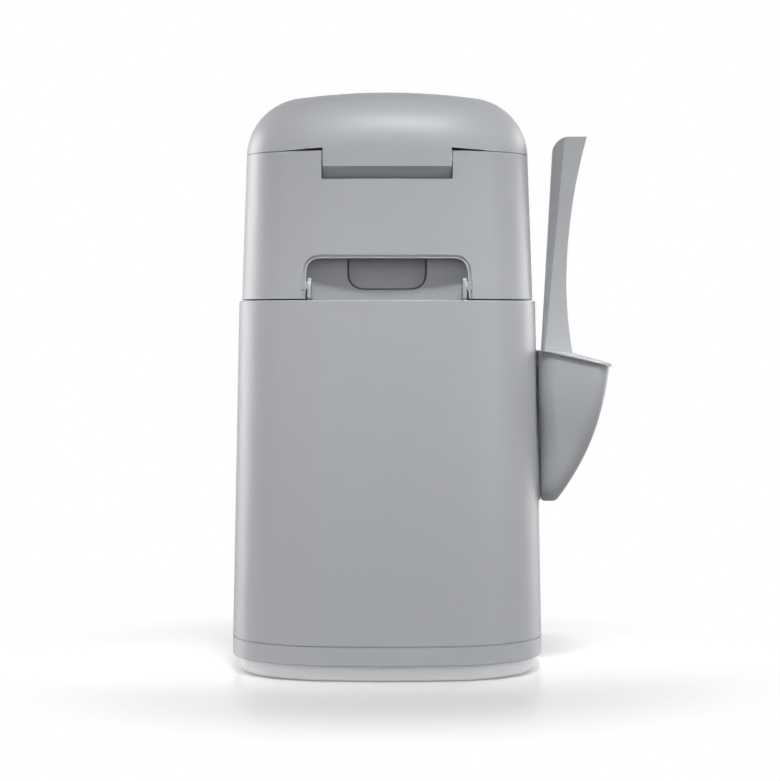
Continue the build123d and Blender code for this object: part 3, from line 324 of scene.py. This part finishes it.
slot_of = {row["node"]: row["material_slot"] for row in frame["record"]["subparts"]}
for name, solid in nodes.items():
    solid.data.materials.clear()
    solid.data.materials.append(finishes[slot_of[name]])
    soften(solid, SOFT_EDGE.get(name, TINY_EDGE))
print("finished", len(slot_of), "solids")

# %% [markdown]
# ## The head's shell, with its pin bosses flush
# In the solid, the two bosses that take the main hinge's pins stand about a millimetre out of the frame
# round the back recess. In the photograph nothing stands out there. A copy of the shell's mesh, with those
# points pushed back to the frame, stands for the node.

# %% Head shell with flush bosses
BOSS_SPAN = (57.5 * MM, 62.2 * MM)  # from one end of a boss to the other, along X
BOSS_HEIGHT = 285 * MM
BOSS_RADIUS = 3.5 * MM
FRAME_FACE = -102.6 * MM
flush_mesh = nodes["head_shell"].data.copy()
flush_mesh.name = "flush_head_shell"
pushed = 0
for vertex in flush_mesh.vertices:
    x, y, z = vertex.co
    if BOSS_SPAN[0] < abs(x) < BOSS_SPAN[1] and abs(z - BOSS_HEIGHT) < BOSS_RADIUS and y < FRAME_FACE:
        vertex.co.y = FRAME_FACE
        pushed += 1
flush_shell = add_object("flush_head_shell", flush_mesh)
soften(flush_shell, SOFT_EDGE["head_shell"])
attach(flush_shell, "head")
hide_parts("head_shell")
print("pushed back", pushed, "points of the head's shell")

# %% [markdown]
# ## Making a piece out of loops
# Most small parts here are loops of points joined by quads: a screw is circles of changing size, a coil is
# small circles along a helix, a gasket is its section carried round a rounded square. So one helper joins
# loops, and another turns the result into a piece with smooth shading, a finish and a body to ride on.

# %% Loops into pieces
def skin(form, loops, joined=False, capped=False):
    """Join closed loops of points with quads: joined ties the last to the first, capped fills both ends"""
    rows = [[form.verts.new(point) for point in loop] for loop in loops]
    following = rows[1:] + ([rows[0]] if joined else [])
    for row, after in zip(rows, following):
        for index in range(len(row)):
            beside = (index + 1) % len(row)
            form.faces.new((row[index], row[beside], after[beside], after[index]))
    if capped:
        form.faces.new(rows[0])
        form.faces.new(reversed(rows[-1]))


def piece(name, form, body, slot, *solids):
    """Make an object from a form, shade it smooth, let it ride on a body and stand for its solids"""
    bmesh.ops.recalc_face_normals(form, faces=form.faces)
    mesh = bpy.data.meshes.new(name)
    form.to_mesh(mesh)
    form.free()
    mesh.shade_smooth()
    mesh.materials.append(finishes[slot])
    made = add_object(name, mesh)
    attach(made, body)
    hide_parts(*solids)
    return made


def box_of(node):
    """The lowest corner, highest corner and middle of a solid"""
    low, high = (Vector(corner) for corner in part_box(node))
    return low, high, (low + high) / 2


def circle(radius, count):
    """Points round the origin, flat in X and Y"""
    steps = (math.tau * index / count for index in range(count))
    return [Vector((radius * math.cos(angle), radius * math.sin(angle), 0)) for angle in steps]


def square_loop(half, corner, count, middle=Vector((0, 0, 0))):
    """Points evenly along a square with round corners, each with its outward direction"""
    straight = 2 * (half - corner)
    quarter = corner * math.pi / 2
    side = straight + quarter
    found = []
    for index in range(count):
        along = (4 * side * index / count) % (4 * side)
        turn = int(along // side) * math.pi / 2
        along %= side
        if along < straight:
            point = Vector((half, along - straight / 2, 0))
            outward = Vector((1, 0, 0))
        else:
            angle = (along - straight) / corner
            outward = Vector((math.cos(angle), math.sin(angle), 0))
            point = Vector((half - corner, half - corner, 0)) + outward * corner
        spin = Matrix.Rotation(turn, 3, "Z")
        found.append((spin @ point + middle, spin @ outward))
    return found


print("helpers ready")

# %% [markdown]
# ## Plate on the floor of the finger pocket
# The photograph shows a dark line round the floor of the finger pocket. A plate one millimetre smaller all
# round than the pocket, set against its back wall, leaves that line as a groove.

# %% Pocket plate
PLATE_HALF = 27.8 * MM
PLATE_LOW = 283.5 * MM
PLATE_HIGH = 319.0 * MM
PLATE_CORNER = 10.5 * MM
PLATE_FRONT = -88.0 * MM
PLATE_BACK = -84.0 * MM
CORNER_STEPS = 8


def plate_outline(y):
    """The plate's outline at a depth: two upright sides and a foot with round corners"""
    quarter = [math.pi * (1 + step / (2 * CORNER_STEPS)) for step in range(CORNER_STEPS + 1)]
    left = [Vector((PLATE_CORNER * (math.cos(angle) + 1) - PLATE_HALF, y,
                    PLATE_CORNER * (math.sin(angle) + 1) + PLATE_LOW)) for angle in quarter]
    left.insert(0, Vector((-PLATE_HALF, y, PLATE_HIGH)))
    return left + [Vector((-point.x, y, point.z)) for point in reversed(left)]


form = bmesh.new()
skin(form, [plate_outline(PLATE_FRONT), plate_outline(PLATE_BACK)], capped=True)
pocket_plate = piece("pocket_plate", form, "head", slot_of["head_shell"])
soften(pocket_plate, 0.3)
print("pocket plate", len(pocket_plate.data.vertices), "points")

# %% [markdown]
# ## Springs
# Two long springs pull the shutter shut again and a short one pushes the latch button out. Each is drawn
# wire wound round a rod, with its end turns closed up so that it sits flat. The wire's circles follow a
# helix whose rise is small in the first and last turn.

# %% Coil springs
STEPS_PER_TURN = 20
WIRE_SIDES = 8
LONG_WIRE = 1.1 * MM
SHORT_WIRE = 0.7 * MM


def coil(form, start, length, radius, wire, turns, forward):
    """A spring along Y from its start, with closed end turns; forward is 1 or -1"""
    loops = []
    steps = turns * STEPS_PER_TURN
    for step in range(steps + 1):
        share = step / steps
        angle = math.tau * turns * share
        eased = min(max((share * turns - 1) / (turns - 2), 0), 1)
        travel = wire + (length - 2 * wire) * eased
        travel += wire * 0.5 * (min(share * turns, 1) - 1 + max(share * turns - turns + 1, 0))
        middle = start + Vector((radius * math.cos(angle), forward * travel, radius * math.sin(angle)))
        out = Vector((math.cos(angle), 0, math.sin(angle)))
        loops.append([middle + out * (wire / 2 * math.cos(turn)) + Vector((0, wire / 2 * math.sin(turn), 0))
                      for turn in (math.tau * side / WIRE_SIDES for side in range(WIRE_SIDES))])
    skin(form, loops, capped=True)


low, high, middle = box_of("return_springs")
reach = (high.z - low.z) / 2
springs = bmesh.new()
for side in (low.x + reach, high.x - reach):
    coil(springs, Vector((side, high.y, middle.z)), high.y - low.y, reach - 0.6 * MM, LONG_WIRE, 26, -1)
pull_springs = piece("coiled_return_springs", springs, "head", "spring_steel", "return_springs")
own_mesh(pull_springs)

low, high, middle = box_of("latch_spring")
button = bmesh.new()
reach = (high.z - low.z) / 2
coil(button, Vector((0, low.y, middle.z)), high.y - low.y, reach - 0.4 * MM, SHORT_WIRE, 7, 1)
push_spring = piece("coiled_latch_spring", button, "head", "spring_steel", "latch_spring")
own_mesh(push_spring)
print("three springs")

# %% [markdown]
# ## Screws
# The screws are pan heads with a cross recess. A head is rings of points that follow its domed profile, and
# the points near two crossed lines are pressed down for the driver. The shank's rings swell and shrink
# along a slanting line, and that makes the thread.

# %% Pan-head screws
SCREW_HEAD = 3.0 * MM       # radius of the head
SCREW_SHANK = 1.5 * MM      # radius of the shank
SCREW_CAP = 1.8 * MM        # height of the head
SCREW_DOME = 0.35 * MM
CROSS_HALF = 0.42 * MM      # half the width of the recess's arms, how far they reach, and how deep
CROSS_REACH = 1.75 * MM
CROSS_DEPTH = 0.95 * MM
THREAD_PITCH = 1.1 * MM
THREAD_STEPS = 5            # rings to a millimetre of shank
POINT_LENGTH = 2 * MM
SCREW_SIDES = 48


def screw_form(form, place, up, length):
    """One screw: its head points along up, and place is the middle of the head's outer face"""
    turn = Vector((0, 0, 1)).rotation_difference(up).to_matrix()
    loops = []
    for share in (0.04, 0.12, 0.2, 0.28, 0.36, 0.44, 0.52, 0.6, 0.68, 0.78, 0.88, 0.95, 1.0):
        ring = circle(SCREW_HEAD * share, SCREW_SIDES)
        for point in ring:
            off_arm = min(abs(point.x), abs(point.y))
            pressed = off_arm < CROSS_HALF and point.length < CROSS_REACH
            point.z = -SCREW_DOME * share**3 - (CROSS_DEPTH if pressed else 0)
        loops.append(ring)
    for depth, share in ((0.9, 1.0), (1.0, 0.99)):
        ring = circle(SCREW_HEAD * share, SCREW_SIDES)
        loops.append([Vector((point.x, point.y, -SCREW_CAP * depth)) for point in ring])
    for step in range(int(length / MM * THREAD_STEPS) + 1):
        down = MM / THREAD_STEPS * step
        taper = min(1.0, max(0.25, (length - down) / POINT_LENGTH))
        ring = circle(SCREW_SHANK, SCREW_SIDES)
        for index, point in enumerate(ring):
            wave = abs(((down / THREAD_PITCH + index / SCREW_SIDES) % 1.0) * 2 - 1)
            point *= taper * (0.78 + 0.2 * wave)
            point.z = -SCREW_CAP - down
        loops.append(ring)
    skin(form, [[turn @ point + place for point in loop] for loop in loops], capped=True)


def islands(node):
    """The boxes of a solid's separate lumps, found by walking along its edges"""
    source = bmesh.new()
    source.from_mesh(nodes[node].data)
    bmesh.ops.remove_doubles(source, verts=source.verts, dist=0.01 * MM)
    waiting = set(source.verts)
    found = []
    while waiting:
        lump, front = [], [waiting.pop()]
        while front:
            vertex = front.pop()
            lump.append(vertex.co.copy())
            for edge in vertex.link_edges:
                other = edge.other_vert(vertex)
                if other in waiting:
                    waiting.discard(other)
                    front.append(other)
        found.append([Vector([pick(point[axis] for point in lump) for axis in range(3)])
                      for pick in (min, max)])
    source.free()
    return sorted(found, key=lambda pair: tuple(round(v, 5) for v in pair[0]))


SCREW_SETS = {"base_screws": ("bin", "-Z"), "cutter_screws": ("bin", "+X"), "bracket_screws": ("bin", "+X"),
              "frame_screws": ("head", "-Z"), "post_screws": ("head", "-Z"), "deck_screws": ("head", "+Z"),
              "handle_screws": ("shutter", "-Z")}
for node, (body, way) in SCREW_SETS.items():
    form = bmesh.new()
    axis = "XYZ".index(way[1])
    forward = way[0] == "+"
    up = Vector((0, 0, 0))
    up[axis] = 1 if forward else -1
    for low, high in islands(node):
        place = (low + high) / 2
        place[axis] = high[axis] if forward else low[axis]
        screw_form(form, place, up, high[axis] - low[axis] - SCREW_CAP)
    piece("cross_" + node, form, body, "steel", node)
print(len(SCREW_SETS), "sets of screws")

# %% [markdown]
# ## Rubber feet
# Five round feet sit in the plinth. Each is turned: a rounded rim, two grip grooves and a dished middle,
# so circles follow that profile.

# %% Feet
FOOT_PROFILE = [(0.02, 0.25), (0.3, 0.22), (0.36, 0.02), (0.5, 0.0), (0.54, 0.2), (0.6, 0.2), (0.64, 0.0),
                (0.78, 0.0), (0.82, 0.2), (0.88, 0.2), (0.91, 0.02), (0.95, 0.06), (0.985, 0.14), (1.0, 0.3),
                (1.0, 0.97), (0.97, 1.0), (0.4, 1.0), (0.02, 1.0)]
FOOT_SIDES = 56
feet = bmesh.new()
for low, high in islands("rubber_feet"):
    middle = (low + high) / 2
    radius = (high.x - low.x) / 2
    tall = high.z - low.z
    skin(feet, [[Vector((point.x + middle.x, point.y + middle.y, low.z + tall * height))
                 for point in circle(radius * share, FOOT_SIDES)] for share, height in FOOT_PROFILE],
         capped=True)
piece("grooved_feet", feet, "bin", "rubber_black", "rubber_feet")
print("five feet")

# %% [markdown]
# ## Seals
# The lid closes on a rubber lip with a groove along its foot, and the two shutter jaws meet on soft bars. A
# section is drawn once as a few points, then carried round the throat or along the jaw. The jaw bars have
# two grip ribs each, between two lower ones.

# %% Gasket and jaw seals
GASKET_WIDTH = 4.0 * MM
GASKET_CORNER = 48.6 * MM
GASKET_POINTS = 220
GASKET_SECTION = [(-0.48, 0.98), (-0.5, 0.9), (-0.42, 0.6), (-0.46, 0.36), (-0.34, 0.12), (-0.1, 0.02),
                  (0.02, 0.16), (0.14, 0.02), (0.36, 0.12), (0.48, 0.36), (0.42, 0.6), (0.5, 0.9),
                  (0.48, 0.98)]
JAW_SECTION = [(0.0, 0.0), (0.75, 0.0), (0.93, 0.08), (0.8, 0.2), (1.0, 0.34), (0.84, 0.5), (1.0, 0.66),
               (0.8, 0.8), (0.93, 0.92), (0.75, 1.0), (0.0, 1.0)]
JAW_STEPS = 60
low, high, middle = box_of("lid_gasket")
half = (high.x - low.x) / 2 - GASKET_WIDTH / 2
lip = bmesh.new()
around = square_loop(half, GASKET_CORNER, GASKET_POINTS, Vector((middle.x, middle.y, 0)))
skin(lip, [[point + outward * (GASKET_WIDTH * out) + Vector((0, 0, low.z + (high.z - low.z) * up))
            for out, up in GASKET_SECTION] for point, outward in around], joined=True)
piece("lip_gasket", lip, "lid", "seal_grey", "lid_gasket")


def jaw_bar(name, node, body, nose):
    """A soft ribbed bar along X; nose says where the other jaw is, forward (1) or back (-1)"""
    low, high, _ = box_of(node)
    deep, tall = high.y - low.y, high.z - low.z
    heel = low.y if nose > 0 else high.y
    form = bmesh.new()
    loops = []
    for step in range(JAW_STEPS + 1):
        side = low.x + (high.x - low.x) * step / JAW_STEPS
        sway = 0.04 * math.sin(step * 1.7)
        loops.append([Vector((side, heel + nose * deep * min(1, max(0, out + sway * out * (1 - out))),
                              low.z + tall * up)) for out, up in JAW_SECTION])
    skin(form, loops, capped=True)
    piece(name, form, body, "seal_grey", node)


jaw_bar("ribbed_fixed_seal", "fixed_jaw_seal", "head", 1)
jaw_bar("ribbed_moving_seal", "moving_jaw_seal", "shutter", -1)
print("seals")

# %% [markdown]
# ## Bag film
# The cartridge holds metres of tube film in tight pleats. The end of it comes up over the tray's lip and
# down through the funnel to the shutter, so it makes the bag. Film is far thinner than any moulding: the
# pleats are a zigzag carried round the tray, and the pouch is one skin of loops, wrinkled by noise that
# runs down its length. Its floor is gathered from both sides toward the middle, where a narrow slit is left.

# %% Pleated film in the cartridge
PLEATS = 30
PLEAT_POINTS = 160
PLEAT_DEPTH = 11.6 * MM
PLEAT_CLEAR = 0.2 * MM      # how far the folds stay in from the pack's faces
OUTER_STRAIGHT = 28.8 * MM  # half the straight part of a side, at the outer folds and the inner ones
INNER_STRAIGHT = 27.0 * MM
MOST_SLACK = 1.3 * MM
random.seed(7)
low, high, middle = box_of("film_pack")
pack_outer = (high.x - low.x) / 2
pack_inner = pack_outer - PLEAT_DEPTH
centre = Vector((middle.x, middle.y, 0))
pleats = bmesh.new()
loops = []
for step in range(2 * PLEATS + 1):
    outer = step % 2 == 0
    level = low.z + (high.z - low.z) * step / (2 * PLEATS)
    half = (pack_outer - PLEAT_CLEAR) if outer else (pack_inner + PLEAT_CLEAR)
    corner = half - (OUTER_STRAIGHT if outer else INNER_STRAIGHT)
    slack = random.uniform(0.0, MOST_SLACK)
    ring = []
    for index, (point, outward) in enumerate(square_loop(half, corner, PLEAT_POINTS, centre)):
        give = slack * (0.5 + 0.5 * noise.noise(Vector((index * 0.11, step * 0.9, 3.0))))
        ring.append(point + outward * (-give if outer else give) + Vector((0, 0, level)))
    loops.append(ring)
skin(pleats, loops)
piece("pleated_film", pleats, "head", "film_white", "film_pack")
print(PLEATS, "pleats")

# %% Film pouch
FILM = 0.2 * MM
THROAT_HALF = 57.2 * MM
THROAT_CORNER = 33.2 * MM
THROAT_FORWARD = 6.0 * MM   # how far the throat's middle lies in front of the pail's
MOUTH_HALF = 49.3 * MM      # the opening over the jaws, half its width, then its back and its front
MOUTH_CORNER = 5.0 * MM
MOUTH_BACK = -37.3 * MM
MOUTH_FRONT = 39.3 * MM
DECK_TOP = 329.0 * MM
HEM_REACH = 2.9 * MM        # how far the film turns out over the tray's lip
SIDE_WRINKLE = 1.6 * MM     # how far in the film may fall, from the lip down to the shutter
FUNNEL_WRINKLE = 2.2 * MM
GATE_WRINKLE = 1.5 * MM
FINE_WRINKLE = 0.35 * MM
FLOOR_CREASE = 2.6 * MM
SIDE_RINGS, FUNNEL_RINGS, GATE_RINGS, GATHER_RINGS = 9, 12, 3, 9
POUCH_POINTS = 264
low, high, _ = box_of("film_sleeve")
_, gate_high, _ = box_of("shutter_cover")
floor_level = low.z + 0.3 * MM
pouch = bmesh.new()


def throat_loop():
    """The loop that the film follows where it enters the throat"""
    return square_loop(THROAT_HALF, THROAT_CORNER, POUCH_POINTS, Vector((0, THROAT_FORWARD, 0)))


def pouch_ring(share, level, inward):
    """A loop of the pouch: share 0 is the round-cornered throat, share 1 the opening over the jaws"""
    ring = []
    half_y = (MOUTH_FRONT - MOUTH_BACK) / 2
    mid_y = (MOUTH_FRONT + MOUTH_BACK) / 2
    lower = square_loop(MOUTH_HALF, MOUTH_CORNER, POUCH_POINTS)
    for index, ((top, top_out), (foot, foot_out)) in enumerate(zip(throat_loop(), lower)):
        foot = Vector((foot.x, mid_y + foot.y * half_y / MOUTH_HALF, 0))
        point = top.lerp(foot, share)
        outward = top_out.lerp(foot_out, share).normalized()
        angle = math.atan2(outward.y, outward.x)
        fold = noise.noise(Vector((3.2 * math.cos(angle) + 9 * index / POUCH_POINTS,
                                   3.2 * math.sin(angle), level * 22)))
        fine = noise.noise(Vector((index * 0.31, level * 90, 5.0)))
        depth = inward * (0.5 + 0.5 * fold) + FINE_WRINKLE * (0.5 + 0.5 * fine)
        ring.append(point - outward * depth + Vector((0, 0, level)))
    return ring


loops = [[point + outward * HEM_REACH + Vector((0, 0, high.z - 0.5 * MM))
          for point, outward in throat_loop()],
         [point + Vector((0, 0, high.z - 0.05 * MM)) for point, _ in throat_loop()]]
for step in range(1, SIDE_RINGS + 1):
    level = high.z - 0.6 * MM + (DECK_TOP - high.z) * step / (SIDE_RINGS + 1)
    loops.append(pouch_ring(0.0, level, SIDE_WRINKLE))
for step in range(FUNNEL_RINGS + 1):
    level = DECK_TOP + (gate_high.z - DECK_TOP) * step / FUNNEL_RINGS
    loops.append(pouch_ring(step / FUNNEL_RINGS, level, FUNNEL_WRINKLE))
for step in range(1, GATE_RINGS + 1):
    level = gate_high.z + (floor_level - gate_high.z) * step / GATE_RINGS
    loops.append(pouch_ring(1.0, level, GATE_WRINKLE))
base_ring = loops[-1]
for step in range(1, GATHER_RINGS + 1):
    share = step / (GATHER_RINGS + 1)
    ring = []
    for index, point in enumerate(base_ring):
        inner = Vector((point.x * 0.9, 0.0, 0))
        crease = max(0.0, noise.noise(Vector((index * 0.23, share * 1.5, 8.0))))
        lift = FLOOR_CREASE * crease * math.sin(math.pi * share)
        ring.append(Vector((point.x, point.y, 0)).lerp(inner, share) + Vector((0, 0, floor_level + lift)))
    loops.append(ring)
skin(pouch, loops)
bag = piece("bag_pouch", pouch, "head", "film_white", "film_sleeve")
thickness = bag.modifiers.new("thickness", "SOLIDIFY")
thickness.thickness = FILM
thickness.offset = -1.0
print("film", len(bag.data.polygons), "faces")

# %% [markdown]
# ## Floor, world and lamps
# The pail stands on a white sweep. The floor is white to the camera but keeps a soft shadow and a faint
# reflection near the pail; far out it fades to pure white, so no horizon shows. To every other ray it is a
# mid grey, so that little light comes up from below, as in the photograph, where the foot of the bin is
# darker than its top. Two wide lamps stand behind the pail, left and right, and give the pale glow along
# its outline. Two weak ones fill the sides that the camera sees. A long lamp with a narrow beam hangs high
# over the camera's side, so that the lintel throws its shadow into the back recess. The world is pure white
# to the camera. To every other ray it is bright at the horizon and dim overhead.

# %% Floor
floor_mesh = bpy.data.meshes.new("floor")
REACH = 12.0
floor_mesh.from_pydata([(-REACH, -REACH, 0), (REACH, -REACH, 0), (REACH, REACH, 0), (-REACH, REACH, 0)],
                       [], [(0, 1, 2, 3)])
floor = add_object("floor", floor_mesh)
ground = Finish("floor_white", Roughness=0.22, Specular_IOR_Level=0.3)
seen = ground.node("ShaderNodeLightPath", output="Is Camera Ray")
across = ground.node("ShaderNodeVectorMath", {"operation": "MULTIPLY"},
                     {0: ground.place(), 1: (1.0, 0.8, 0.0)})
distance = ground.node("ShaderNodeVectorMath", {"operation": "LENGTH"}, {0: across}, output="Value")
far = ground.node("ShaderNodeMapRange", {"interpolation_type": "SMOOTHSTEP"},
                  {"Value": distance, "From Min": 0.15, "From Max": 0.33, "To Min": 0.25, "To Max": 1.0})
beside = ground.node("ShaderNodeMapRange", {"interpolation_type": "SMOOTHSTEP"},
                     {"Value": distance, "From Min": 0.12, "From Max": 0.20, "To Min": 0.0, "To Max": 1.0})
bounce = ground.blend(beside, (0.62, 0.62, 0.62), (0.30, 0.30, 0.30))
ground.surface(Base_Color=ground.blend(seen, bounce, (0.94, 0.94, 0.94)))
white = ground.node("ShaderNodeEmission", None, {"Color": (1.0, 1.0, 1.0), "Strength": 1.0})
plain = Wire(ground, ground.shader.outputs[0])
shown = ground.node("ShaderNodeMixShader", None, {0: seen * far, 1: plain, 2: white})
ground.feed(ground.tree.nodes["Material Output"].inputs["Surface"], shown)
floor_mesh.materials.append(ground.material)
print("floor", 2 * REACH, "m across")

# %% World and lamps
world = bpy.data.worlds.new("studio")
bpy.context.scene.world = world
world.use_nodes = True
sky = world.node_tree
background = sky.nodes["Background"]
background.inputs["Color"].default_value = (1, 1, 1, 1)
height = sky.nodes.new("ShaderNodeSeparateXYZ")
sky.links.new(sky.nodes.new("ShaderNodeTexCoord").outputs["Generated"], height.inputs[0])
fade = sky.nodes.new("ShaderNodeMapRange")
fade.interpolation_type = "SMOOTHSTEP"
for socket, value in (("From Min", 0.05), ("From Max", 0.8), ("To Min", 0.95), ("To Max", 0.25)):
    fade.inputs[socket].default_value = value
sky.links.new(height.outputs["Z"], fade.inputs["Value"])
sky.links.new(fade.outputs[0], background.inputs["Strength"])
bright = sky.nodes.new("ShaderNodeBackground")
bright.inputs["Color"].default_value = (1, 1, 1, 1)
path = sky.nodes.new("ShaderNodeLightPath")
pick = sky.nodes.new("ShaderNodeMixShader")
sky.links.new(path.outputs["Is Camera Ray"], pick.inputs[0])
sky.links.new(background.outputs[0], pick.inputs[1])
sky.links.new(bright.outputs[0], pick.inputs[2])
sky.links.new(pick.outputs[0], sky.nodes["World Output"].inputs["Surface"])


def lamp(name, place, target, width, height, power, spread=180.0):
    """A soft rectangular lamp that looks at a point, with its beam's spread in degrees"""
    data = bpy.data.lights.new(name, "AREA")
    data.shape = "RECTANGLE"
    data.size = width
    data.size_y = height
    data.energy = power
    data.spread = math.radians(spread)
    light = add_object(name, data)
    light.location = place
    light.rotation_euler = (Vector(target) - Vector(place)).to_track_quat("-Z", "Y").to_euler()


CENTRE = (0.0, 0.0, 0.22)
lamp("lamp_left", (-1.8, 1.5, 0.6), CENTRE, 1.0, 1.2, 22)
lamp("lamp_right", (1.65, 1.7, 0.6), CENTRE, 1.0, 1.2, 15)
lamp("lamp_fill_left", (-1.7, -0.9, 0.5), CENTRE, 0.8, 0.8, 3.2)
lamp("lamp_fill_right", (1.7, -0.9, 0.5), CENTRE, 0.8, 0.8, 4.5)
lamp("lamp_front", (0.1, -0.85, 1.55), (0.0, -0.11, 0.24), 1.5, 0.2, 1.15, spread=16.0)
bpy.context.scene.view_settings.view_transform = "Standard"
print("stage set")
